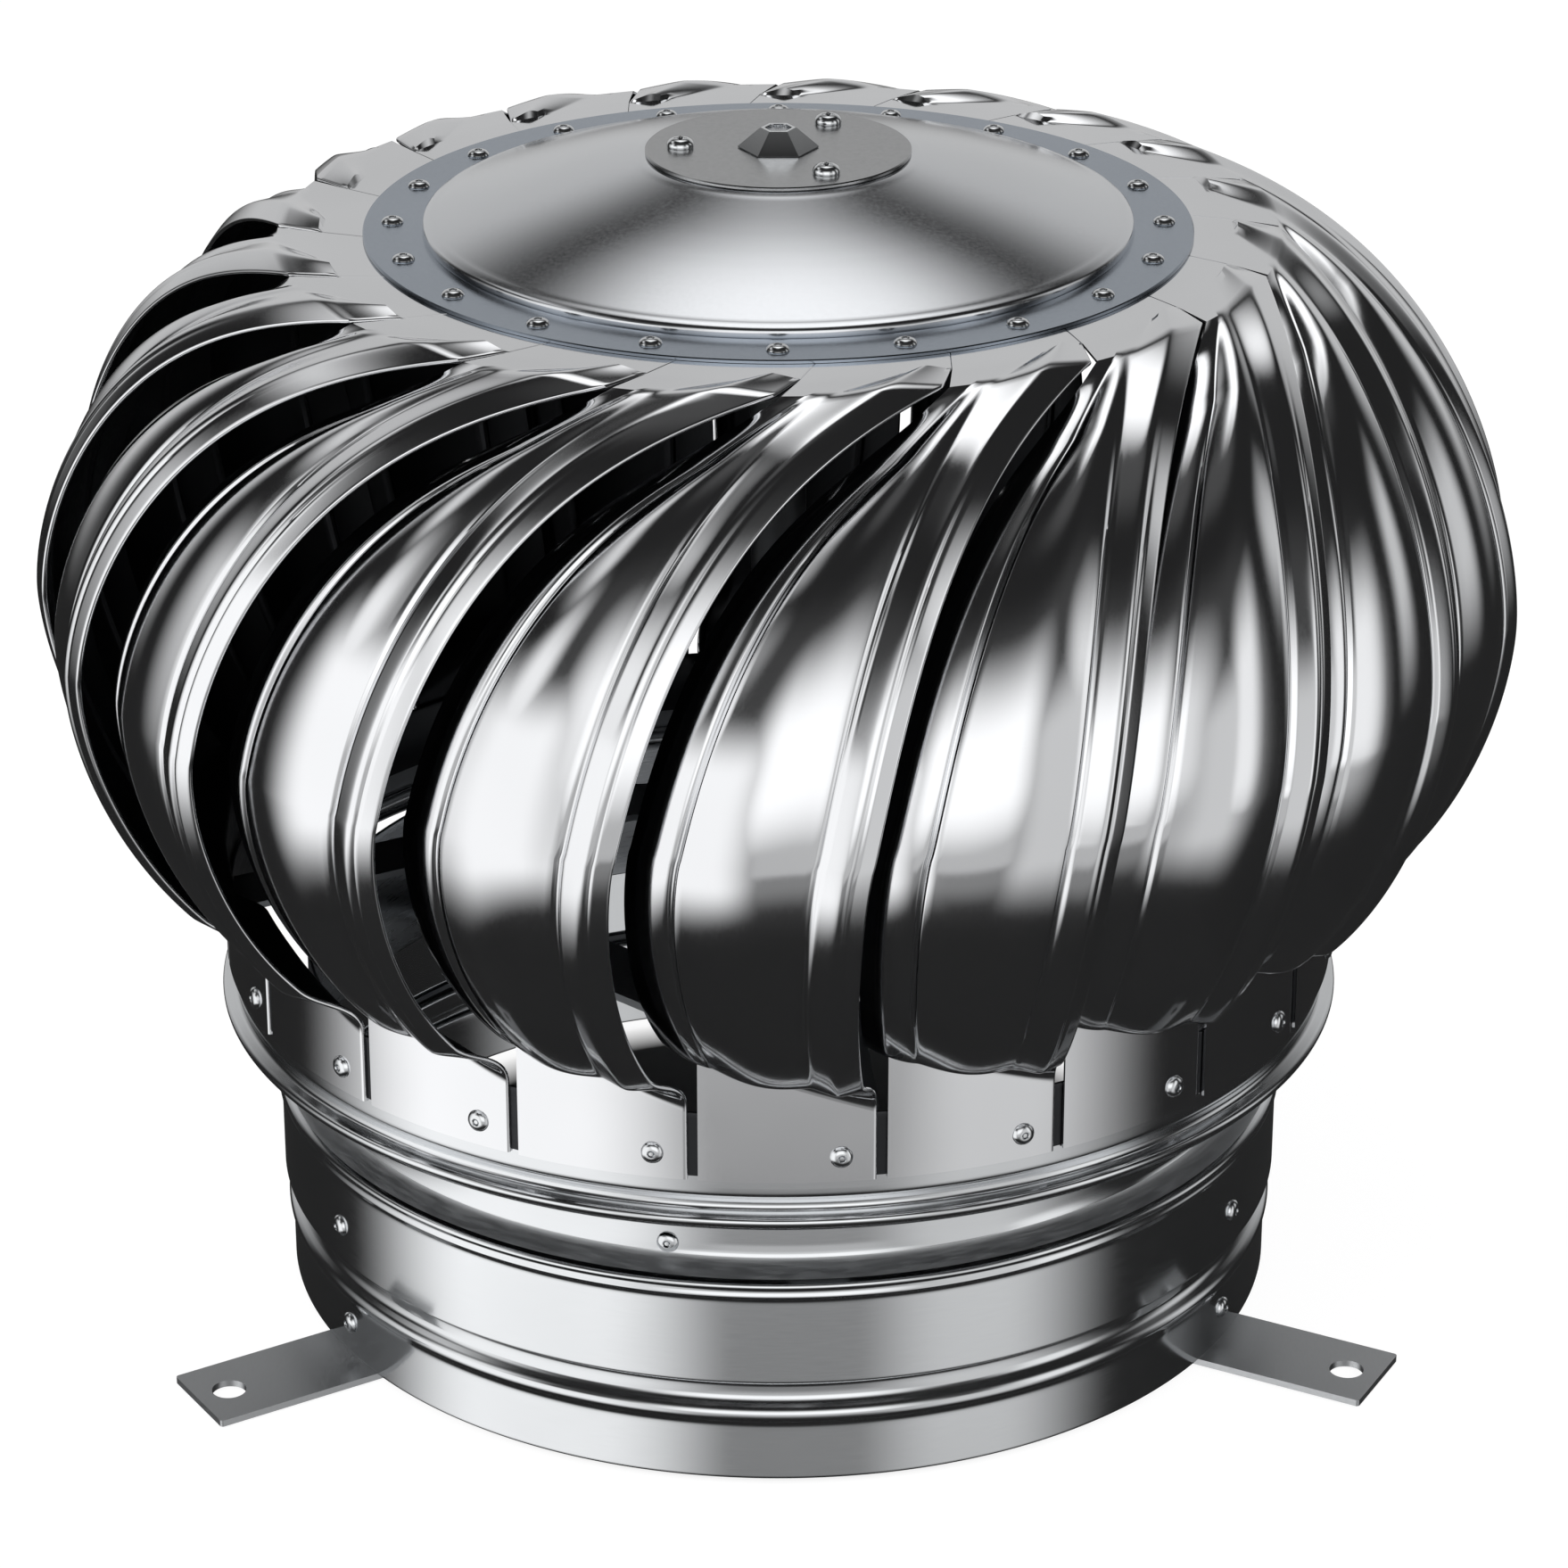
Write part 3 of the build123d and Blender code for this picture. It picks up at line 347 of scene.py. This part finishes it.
BAND = rounded([(150.0, 34.0), (150.0, 60.5), (151.2, 61.5), (150.4, 63.25), (151.2, 65.0),
                (148.8, 66.5), (144.8, 67.6), (142.5, 69.3), (142.0, 71.8), (142.0, 84.0)], 1.5)
band = turned("wide_band_spun_sheet", sheet_section(BAND, 1.0))
dress(band, "neck", "polished_stainless", spun_stainless, "neck_band")
# Drawn stainless keeps the frosted skin of the drawing, which blurs what it reflects.
drawn_stainless = steel("drawn_stainless_dull", "#CFD1D3", 0.5, 0.5, (0.06, 0.06, 1.0))
DULL_FROM, DULL_TO = 66.3 * MM, 69.4 * MM
give_second(band, drawn_stainless, lambda centre: (centre[:, 2] > DULL_FROM) & (centre[:, 2] < DULL_TO))

# Inner sleeve. A plain ring rolled from the same sheet and riveted inside the upright, where it
# keeps rain out of the throat. It is left as it leaves the coil, so its reflection is blurred and
# greyer.
SLEEVE = np.array([(140.9, 60.0), (140.9, 82.0), (140.9, 104.0)])
rolled_stainless = steel("rolled_stainless_dull", "#9FA2A6", 0.30, 0.5, (0.06, 0.06, 1.0))
sleeve = turned("inner_sleeve_rolled", sheet_section(SLEEVE, 1.0), facets=144)
dress(sleeve, "neck", "satin_stainless", rolled_stainless, "inner_sleeve")

# Roof straps. Three flat steel bars, sheared, drilled and bent once, riveted inside the collar and
# screwed down to the roof. They keep their mill finish: an even grey with soft reflections.


def coat(material, *names):
    """Puts a material on CAD nodes that stay."""
    for name in names:
        node[name].data.materials.clear()
        node[name].data.materials.append(material)


strap_steel = steel("mill_finish_strap", "#BFC1C3", 0.34, 0.6, (1.0, 0.25, 1.0))
coat(strap_steel, "roof_strap_1", "roof_strap_2", "roof_strap_3")

# Spiders, shaft, spacer and their nuts and screws. Pressed and turned mild steel, bolted together
# inside the neck and the head. Zinc plate gives it small soft clouds of lighter and darker grey.
zinc_plate = steel("zinc_plated_steel", "#A9ACAF", 0.36, 1.2, (1.0, 1.0, 1.0))
coat(zinc_plate, "lower_spider", "upper_spider", "fixed_shaft", "bearing_spacer", "shaft_nuts",
     "turning_spider", "spider_screws")

# Bearings and their housings. Turned aluminium cups, dull with fine tool rings, around ground
# steel races and balls, near mirrors, and cages of pressed brass, a soft yellow. The upper cup's
# stem is stepped down inside the cap nut.
turned_aluminium = steel("turned_aluminium", "#B7B9BC", 0.28, 0.4, (0.2, 0.2, 1.0))
ground_steel = steel("ground_bearing_steel", "#B4B6BA", 0.12, 0.3, (1.0, 1.0, 1.0))
pressed_brass = steel("pressed_brass", "#B4924E", 0.25, 0.6, (1.0, 1.0, 1.0))
UPPER_HOUSING = np.array([(0.0, 340.0), (13.0, 340.0), (13.0, 336.0), (16.05, 336.0), (16.05, 326.3),
                          (16.3, 326.0), (19.7, 326.0), (20.0, 326.3), (20.0, 340.3), (32.7, 340.3),
                          (33.0, 340.6), (33.0, 343.0), (32.7, 343.3), (8.0, 343.3), (8.0, 345.8),
                          (4.4, 346.6), (3.6, 347.0), (3.6, 350.5), (3.3, 350.8), (0.0, 350.9)])
upper_housing = turned("upper_housing_turned_cup", UPPER_HOUSING, facets=96)
dress(upper_housing, "head", "housing_aluminium", turned_aluminium, "upper_bearing_housing")
coat(turned_aluminium, "lower_bearing_housing")
coat(ground_steel, "lower_inner_race", "upper_inner_race", "lower_outer_race", "upper_outer_race",
     "bearing_balls")
coat(pressed_brass, "lower_ball_cage", "upper_ball_cage")

# Turning ring. Spun sheet with a groove and a thick rolled bead at its foot; the blades' feet are
# riveted round its plain band.
RING = rounded([(164.7, 90.6), (166.2, 92.3), (166.2, 94.1), (162.0, 95.8), (162.0, 98.2),
                (163.2, 99.9), (163.2, 124.5)], 1.5)
ring = turned("turning_ring_spun_sheet", sheet_section(RING, 1.0))
dress(ring, "head", "polished_stainless", spun_stainless, "turning_ring")
# Under the feet nobody polishes it, so it is rougher, and its near-black colour is painted shade for the
# shadow in the slits between them.
feet_slit_shade = steel("painted_shade_feet_slits", "#3A3B3D", 0.40, 0.5, (0.06, 0.06, 1.0))
FEET_FROM = 106.0 * MM
give_second(ring, feet_slit_shade, lambda centre: centre[:, 2] > FEET_FROM)


# Blades. Mirror polished sheet, pressed in one die: a ridged lip with a hemmed edge, a bulged
# panel and a soft roll that leans in behind the next blade's lip. A leaf at the top goes under the
# cap, and a folded foot is riveted to the ring.
BLADES, PITCH, BLADE_GAP, LEAF_GAP, SHEET = 20, 18.0, 0.35, 0.03, 0.8
HEAD_R, HEAD_EQUATOR = 214.3, 219.58
CROWN_R, CROWN_TOP, CROWN_POWER = 135.4, 323.2, 1.75
SKIRT_R, SKIRT_BOTTOM, SKIRT_POWER = 141.9, 116.8, 1.73
LIP_END, LIP_STRAIGHT, SKIRT_END = 84.0, -22.5, -53.0
LEAF_TOP, LEAF_END_R, LEAF_BEND_R, LEAF_TURN, LEAF_OFFSET = 322.7, 100.5, 129.6, 12.0, 45.5
TAB_R, TAB_BOTTOM, TAB_TURN, TAB_GAP, FOLD_LOW, FOLD_HIGH = 164.4, 105.0, 3.4, 1.0, 126.0, 143.5
RING_RIVET_TURN = 6.0


def head_line(angle):
    """Outline of the head: a superellipse, r = end + (R - end) cos^(2/p), z likewise with sin."""
    upper = angle >= 0
    power, end_r, end_z = (np.where(upper, a, b) for a, b in (
        (CROWN_POWER, SKIRT_POWER), (CROWN_R, SKIRT_R), (CROWN_TOP, SKIRT_BOTTOM)))
    out = np.cos(np.radians(angle)) ** (2 / power)
    up = np.sin(np.radians(np.abs(angle))) ** (2 / power)
    r = end_r + (HEAD_R - end_r) * out
    z = HEAD_EQUATOR + (end_z - HEAD_EQUATOR) * up
    slope_r = out ** (power - 1) / (HEAD_R - end_r)
    slope_z = up ** (power - 1) / (end_z - HEAD_EQUATOR)
    size = np.hypot(slope_r, slope_z)
    return r, z, slope_r / size, slope_z / size


def lip_turn(angle):
    """Azimuth of the lip's edge in degrees, a curve 11.5 y^2 + 6 y^5 that leads towards the crown.

    y is the outline's angle as a share of a quarter turn, counted from where the lip stands
    straight, 22.5 degrees below the equator.
    """
    y = (angle - LIP_STRAIGHT) / 90
    return 11.5 * y**2 + 6.0 * y**5


def bump(s, middle, half):
    """A raised cosine of height one, centred on the middle and nothing past half a width from it."""
    return np.where(np.abs(s - middle) < half, 0.5 + 0.5 * np.cos(pi * (s - middle) / half), 0.0)


def step(s, low, high):
    """Nought before low, one after high and a cubic ease between."""
    t = np.clip((s - low) / (high - low), 0, 1)
    return t * t * (3 - 2 * t)


def hinge(x, soft=0.8):
    """Nought before zero and x after it, round its corner: (x + sqrt(x^2 + soft^2)) / 2."""
    return (x + np.sqrt(x * x + soft * soft)) / 2


# Widths across the sheet, from the lip's free edge, and depths of the same parts. Then the depth
# and half width of the grooves that the die leaves at the riser's foot, where the roll begins and
# on the ridge, and the angles between which they are crisp. The lip takes at most 0.7 of a row.
HEM, LIP, RISER, ROLL = 0.8, 7.5, 6.9, 14.0
DROOP, RISE, PROUD, LEAN, BULGE, ROLL_DEPTH = 2.0, 3.0, 2.2, 5.0, 2.4, 6.0
FOOT_GROOVE, ROLL_GROOVE, RIDGE_GROOVE, RIDGE_GROOVE_IN = (0.7, 1.5), (0.9, 1.3), (0.3, 0.9), 2.0
CRISP_FROM, CRISP_UNTIL, CRISP_GONE = -34.0, 40.0, 74.0
LIP_MOST, FADE_POWER, OUTSIDE_CLEARANCE, HEM_FROM, HEM_TO = 0.7, 8, 0.1, 0.3, 2.2
LIP_STATIONS = np.linspace(HEM, LIP + RISER + 1.6, 34)
LEAF_ROWS, PANEL_POINTS, CREASE_POINTS, ROLL_POINTS = 7, 20, 7, 12
SHELL_ROWS, CROWN_ROWS, SKIRT_ROWS = 96, 4, 14
FOOT_SHARES = (1.0, 0.97, 0.66, 0.33, 0.0)


def across(width, scale, roll):
    """Distance of every point from the lip's edge, across a sheet of this width."""
    lip = scale * LIP_STATIONS
    crease = max(width - roll - ROLL_GROOVE[1], lip[-1] + 0.5)
    groove_end = width - roll + ROLL_GROOVE[1]
    runs = ((lip[-1], crease, PANEL_POINTS), (crease, groove_end, CREASE_POINTS),
            (groove_end, width, ROLL_POINTS))
    return np.concatenate([lip] + [np.linspace(a, b, count + 1)[1:] for a, b, count in runs])


def lip_line(lip):
    """Depths across the lip: how far its edge droops from the ridge, and its riser's share, 0 to 1."""
    share = (hinge(lip - LIP) - hinge(lip - LIP - RISER)) / RISER
    return DROOP / LIP * hinge(LIP - lip), share


def shell_row(angle):
    """Row of the blade on the head's outline, outer side, at one angle of the outline.

    Each point lies at a depth below the outline: 2 mm at the lip's edge, nothing on its ridge, 3 mm
    at the riser's foot, 8 mm where the panel ends and 14 mm at the inner edge by a power of 1.5,
    less the panel's bulge, a sine to the power 1.1, with raised cosines for the grooves. All but
    the lip fades out by the eighth power of the angle towards the crown, where the ridge stands
    2.2 mm proud. A row's width is the pitch less the gap, divided by the stretch of the sweep.
    """
    r, z, out, up = head_line(np.float64(angle))
    low, high = head_line(np.float64(angle - 0.5)), head_line(np.float64(angle + 0.5))
    along = np.hypot(high[0] - low[0], high[1] - low[1])
    sideways = np.radians(lip_turn(angle + 0.5) - lip_turn(angle - 0.5)) * r
    stretch = np.hypot(along, sideways) / along
    width = np.radians(PITCH - BLADE_GAP) * r / stretch
    scale = min(1.0, LIP_MOST * width / (LIP + RISER))
    lip_side = scale * (LIP + RISER)
    roll = min(ROLL / stretch, (width - lip_side) / 2)
    s = across(width, scale, roll)
    lip = s / scale
    fade = (max(angle, 0) / LIP_END) ** FADE_POWER
    droop, riser = lip_line(lip)
    share = np.clip((s - lip_side) / (width - roll - lip_side), 0, 1)
    inward = np.clip((s - width + roll) / roll, 0, 1)
    depth = RISE * riser + LEAN * share + ROLL_DEPTH * inward**1.5 - BULGE * np.sin(pi * share) ** 1.1
    crisp = step(angle, SKIRT_END, CRISP_FROM) * (1 - step(angle, CRISP_UNTIL, CRISP_GONE))
    for (deep, half), over, middle in ((FOOT_GROOVE, lip, LIP + RISER), (ROLL_GROOVE, s, width - roll),
                                       (RIDGE_GROOVE, lip, LIP - RIDGE_GROOVE_IN)):
        depth += crisp * deep * bump(over, middle, half)
    depth = (1 - fade) * depth + droop - PROUD * fade * (1 - riser) + OUTSIDE_CLEARANCE
    turn = lip_turn(angle) - np.degrees(s * stretch / r)
    return at(turn, r - depth * out, z - depth * up)


def leaf_row(r, ridge=0.0):
    """Row of the flat leaf under the cap, at one radius, with so much of the lip's ridge on it."""
    width = np.radians(PITCH - LEAF_GAP) * r
    s = across(width, 1.0, min(ROLL, (width - LIP - RISER) / 2))
    droop, riser = lip_line(s)
    edge = LEAF_TURN + np.degrees(np.arcsin(LEAF_OFFSET / r))
    hem = SHEET / 2 + ridge * (HEM - SHEET / 2)
    s = width - (width - s) * (width - hem) / (width - HEM)
    return at(edge - np.degrees(s / r), r, LEAF_TOP + ridge * (PROUD * (1 - riser) - droop))


def foot_row(low, high):
    """Row of the foot on the ring, rising from the lip's side to the inner edge."""
    width = np.radians(PITCH - TAB_GAP) * TAB_R
    s = across(width, 1.0, ROLL)
    return at(TAB_TURN - np.degrees(s / TAB_R), TAB_R, low + (high - low) * s / width)


def eased(first, last, first_slope, last_slope, count):
    """Rows between two rows on a cubic Hermite curve with the slopes given at its ends."""
    t = np.linspace(0, 1, count + 2)[1:-1, None, None]
    return ((2 * t**3 - 3 * t**2 + 1) * first + (t**3 - 2 * t**2 + t) * first_slope
            + (3 * t**2 - 2 * t**3) * last + (t**3 - t**2) * last_slope)


def blade_sheet():
    """Outer side of one blade, from its leaf to its foot, as a grid of rows."""
    leaf_radii = np.append(np.linspace(LEAF_END_R, LEAF_BEND_R - 1.5, LEAF_ROWS - 1), LEAF_BEND_R - 1.0)
    leaf = np.array([leaf_row(r) for r in leaf_radii] + [leaf_row(LEAF_BEND_R, ridge=1.0)])
    shell_rows = np.array([shell_row(angle) for angle in np.linspace(LIP_END, SKIRT_END, SHELL_ROWS)])
    fold = foot_row(FOLD_LOW, FOLD_HIGH)
    foot = np.array([foot_row(TAB_BOTTOM + (FOLD_LOW - TAB_BOTTOM) * share,
                              TAB_BOTTOM + (FOLD_HIGH - TAB_BOTTOM) * share)
                     for share in FOOT_SHARES])
    crown_run = shell_rows[0] - leaf[-1]
    crown = eased(leaf[-1], shell_rows[0], crown_run, crown_run, CROWN_ROWS)
    size = np.linalg.norm(fold - shell_rows[-1], axis=-1)[:, None]
    slope = shell_rows[-1] - shell_rows[-2]
    slope = slope / np.linalg.norm(slope, axis=-1)[:, None] * size
    skirt = eased(shell_rows[-1], fold, slope, size * (0.0, 0.0, -1.0), SKIRT_ROWS)
    return np.concatenate([leaf, crown, shell_rows, skirt, foot])


def turned_by(points, turn):
    """Points turned about Z by an azimuth in degrees."""
    c, s = cos(radians(turn)), sin(radians(turn))
    return points @ np.array([[c, s, 0], [-s, c, 0], [0, 0, 1]])


def hemmed_loop(outer, normal):
    """Closed section of every row: outer side, inner side a gauge below it, round folded hem.

    The hem is an arc p = c + h (n cos a + t sin a) about a centre c that lies the hem's radius h
    below the first point, with n the normal and t pointing off the edge. The inner side thickens
    towards it. The leaf's rows have a plain round edge.
    """
    radius = np.full((len(outer), 1), HEM)
    radius[:LEAF_ROWS] = SHEET / 2
    off_edge = outer[:, 0] - outer[:, 1]
    off_edge /= np.linalg.norm(off_edge, axis=-1)[:, None]
    from_edge = np.linalg.norm(outer - outer[:, :1], axis=-1)[..., None]
    gauge = SHEET + (2 * radius[:, None] - SHEET) * (1 - step(from_edge, HEM_FROM, HEM_TO))
    centre = outer[:, 0] - radius * normal[:, 0]
    arc = np.linspace(pi, 0, 9)[1:-1, None, None]
    hem = centre + radius * (normal[:, 0] * np.cos(arc) + off_edge * np.sin(arc))
    return np.concatenate([outer, (outer - normal * gauge)[:, ::-1], hem.swapaxes(0, 1)], axis=1)


outer = blade_sheet()
normal = np.cross(np.gradient(outer, axis=1), np.gradient(outer, axis=0))
normal /= np.linalg.norm(normal, axis=-1)[..., None]
normal *= np.sign((normal * outer)[SHELL_ROWS // 2, :, :2].sum())
blade_loop = hemmed_loop(outer, normal)
rows, points = outer.shape[:2]
back_faces = np.tile(np.arange(blade_loop.shape[1]) // points == 1, rows - 1)
# Mirror polished stainless: clean black and white reflections, a little wavy from the press. The backs
# aren't polished, so they are rougher, and their near-black colour is painted shade for the shadow inside
# the head and in the gaps under the lips.
mirror_stainless = steel("mirror_polished_stainless", "#E2E3E5", 0.10, 0.6, (1.0, 1.0, 0.2), dent=0.12)
back_painted_shade = steel("unpolished_painted_shade_back", "#2E2F31", 0.45, 0.8, (1.0, 1.0, 0.2))
for number in range(BLADES):
    turn = RING_RIVET_TURN + PITCH * number
    blade = shell(f"blade_sheet_{number + 1:02d}", [turned_by(blade_loop, turn)])
    dress(blade, "head", "mirror_stainless", mirror_stainless, f"blade_{number + 1:02d}")
    blade.data.materials.append(back_painted_shade)
    slots = np.zeros(len(blade.data.polygons), int)
    slots[: len(back_faces)] = back_faces
    blade.data.polygons.foreach_set("material_index", slots)

# Flat ring and backing ring. Cut from satin stainless sheet, they clamp the blades' leaves between
# them. The satin keeps a bluish film that scatters its reflection to an even grey.
satin_sheet = steel("satin_stainless_sheet", "#9CA5B0", 0.21, 0.7, (1.0, 1.0, 1.0))
FLANGE = np.array([(94.2, 323.8), (94.0, 323.6), (94.0, 322.8), (117.2, 322.8), (117.2, 323.5),
                   (116.9, 323.8)])
flange = turned("cap_flange_ring", FLANGE)
dress(flange, "head", "satin_stainless", satin_sheet, "cap_flange")
coat(rolled_stainless, "backing_ring")

# Dome of the cap. Stainless sheet spun on a former: a rolled bright rim that stands on the flat
# ring, a low crowned cone and a flat land. Its satin finish spreads light into broad soft rays.
DOME_RIM = rounded([(100.4, 323.95), (100.4, 326.2), (98.2, 327.1)], 1.4)
share = np.linspace(0, 1, 30)
DOME_CONE = np.stack([96.6 + (40.4 - 96.6) * share, 327.5 + 16.3 * share + 0.9 * np.sin(pi * share)], axis=1)
DOME_LINE = np.vstack([DOME_RIM, DOME_CONE, [(39.0, 344.25), (37.0, 344.4), (8.2, 344.4)]])
spun_satin = steel("spun_stainless_satin", "#D6D8DB", 0.15, 0.5, (0.5, 0.5, 1.0))
dome = turned("cap_dome_spun_sheet", sheet_section(DOME_LINE, 1.0))
dress(dome, "head", "satin_stainless", spun_satin, "cap_dome")

# Centre plate. A flat disc of brushed stainless with a broken edge, clamped on the dome's land by
# the three screws and the nut. Brushing leaves it an even mid grey.
PLATE = np.array([(8.2, 344.5), (37.3, 344.5), (37.5, 344.8), (37.5, 345.4), (37.2, 345.7), (8.2, 345.7)])
plate = turned("centre_plate_disc", PLATE, facets=144)
brushed_disc = steel("brushed_stainless_disc", "#A6A7A8", 0.22, 0.5, (0.4, 0.4, 1.0))
dress(plate, "head", "satin_stainless", brushed_disc, "centre_plate")


# Blind rivets. Bright steel with small sharp highlights: a low domed head with the broken end of
# its mandrel in the middle, set from outside through both sheets.


def fasteners(name, section, places, facets=24, recess=None):
    """Turned fasteners in one mesh: the section carried round the axis at each place.

    A place is a point and the way the head faces. Each point stands at place + r (cos t side + sin t
    third) + height face, with side, third and face square to each other. The recess, if there is
    one, is a function of the turn that gives the share of its radius that each point keeps.
    """
    turn = np.linspace(0, 2 * pi, facets, endpoint=False)[:, None]
    radius = np.broadcast_to(section[None, :, 0], (facets, len(section))).copy()
    if recess is not None:
        radius = radius * recess(turn, section)
    grids = []
    for origin, face in places:
        face = np.array(face, float)
        side = np.cross((0, 0, 1), face) if abs(face[2]) < 0.9 else np.array((1.0, 0, 0))
        side /= np.linalg.norm(side)
        third = np.cross(face, side)
        grids.append(np.array(origin) + radius[..., None] * (np.cos(turn)[..., None] * side
                     + np.sin(turn)[..., None] * third) + section[None, :, 1, None] * face)
    return shell(name, grids, around=True)


rivet_steel = steel("bright_rivet_steel", "#DCDEE0", 0.14, 0.3, (1.0, 1.0, 1.0))
RIVET = np.array([(0.0, -4.0), (1.9, -3.9), (2.2, -3.0), (1.6, -2.2), (1.6, 0.0), (3.15, 0.0), (3.2, 0.25),
                  (2.9, 0.8), (2.3, 1.25), (1.6, 1.48), (1.15, 1.5), (1.0, 1.3), (0.95, 0.5), (0.85, 0.5),
                  (0.75, 1.0), (0.6, 1.25), (0.0, 1.3)])
ring_turns = RING_RIVET_TURN + PITCH * np.arange(BLADES)
strap_turns = 62.0 + 120.0 * np.arange(3)
sleeve_turns = -12.5 + 120.0 * np.arange(3)
GROUPS = (
    ("strap", "neck", [(at(t, 148.0, 12.0), at(t, 1, 0)) for t in strap_turns]),
    ("band", "neck", [(at(t, 150.0, 45.0), at(t, 1, 0)) for t in strap_turns]),
    ("sleeve", "neck", [(at(t, 142.0, 72.5), at(t, 1, 0)) for t in sleeve_turns]),
    ("ring", "head", [(at(t, TAB_R, 112.5), at(t, 1, 0)) for t in ring_turns]),
    ("crown", "head", [(at(t + 30.0, 109.0, 323.8), (0, 0, 1)) for t in ring_turns]),
)
for group, body, places in GROUPS:
    heads = fasteners(f"{group}_blind_rivets", RIVET, places)
    dress(heads, body, "fastener_steel", rivet_steel, f"{group}_rivets")

# Screws of the centre plate. Three pan heads with a cross recess, of the same bright steel, down
# through the plate and the dome into the upper housing's flange.
SCREW = np.array([(0.0, -6.0), (2.0, -6.0), (2.0, 0.0), (3.8, 0.0), (3.9, 0.5), (3.7, 1.4), (3.1, 2.1),
                  (2.3, 2.5), (1.9, 2.58), (1.7, 2.4), (0.9, 1.0), (0.0, 0.9)])
SCREW_RECESS = slice(8, None)


def cross_recess(turn, section):
    """Share of its radius that a point keeps: in the recess 0.62 + 0.38 cos^4 of twice the turn."""
    share = np.ones((len(turn), len(section)))
    share[:, SCREW_RECESS] = 0.62 + 0.38 * np.cos(2 * turn) ** 4
    return share


screw_places = [(at(turn, 27.5, 345.7), (0, 0, 1)) for turn in 29.0 + 120.0 * np.arange(3)]
screws = fasteners("plate_pan_screws", SCREW, screw_places, facets=48, recess=cross_recess)
dress(screws, "head", "fastener_steel", rivet_steel, "plate_screws")

# Cap nut. A low six-sided cone of bright steel, screwed on the upper housing's stem, whose end
# stands flush in its top.
NUT = np.array([(8.2, 345.8), (11.3, 345.8), (11.4, 346.1), (5.4, 351.2), (4.9, 351.5), (3.9, 351.5),
                (3.7, 351.1), (3.7, 347.2), (8.2, 346.2)])
NUT_OUTSIDE = slice(1, 6)


def hexagon(turn, section):
    """Share of its radius that a point keeps: outside cos 30 over cos of the turn from a flat.

    One flat faces the front, as the turn is counted from the side.
    """
    share = np.ones((len(turn), len(section)))
    share[:, NUT_OUTSIDE] = cos(pi / 6) / np.cos(turn % (pi / 3) - pi / 6)
    return share


nut = fasteners("cap_hexagon_nut", NUT, [((0, 0, 0), (0, 0, 1))], facets=72, recess=hexagon)
dress(nut, "head", "fastener_steel", rivet_steel, "cap_nut")
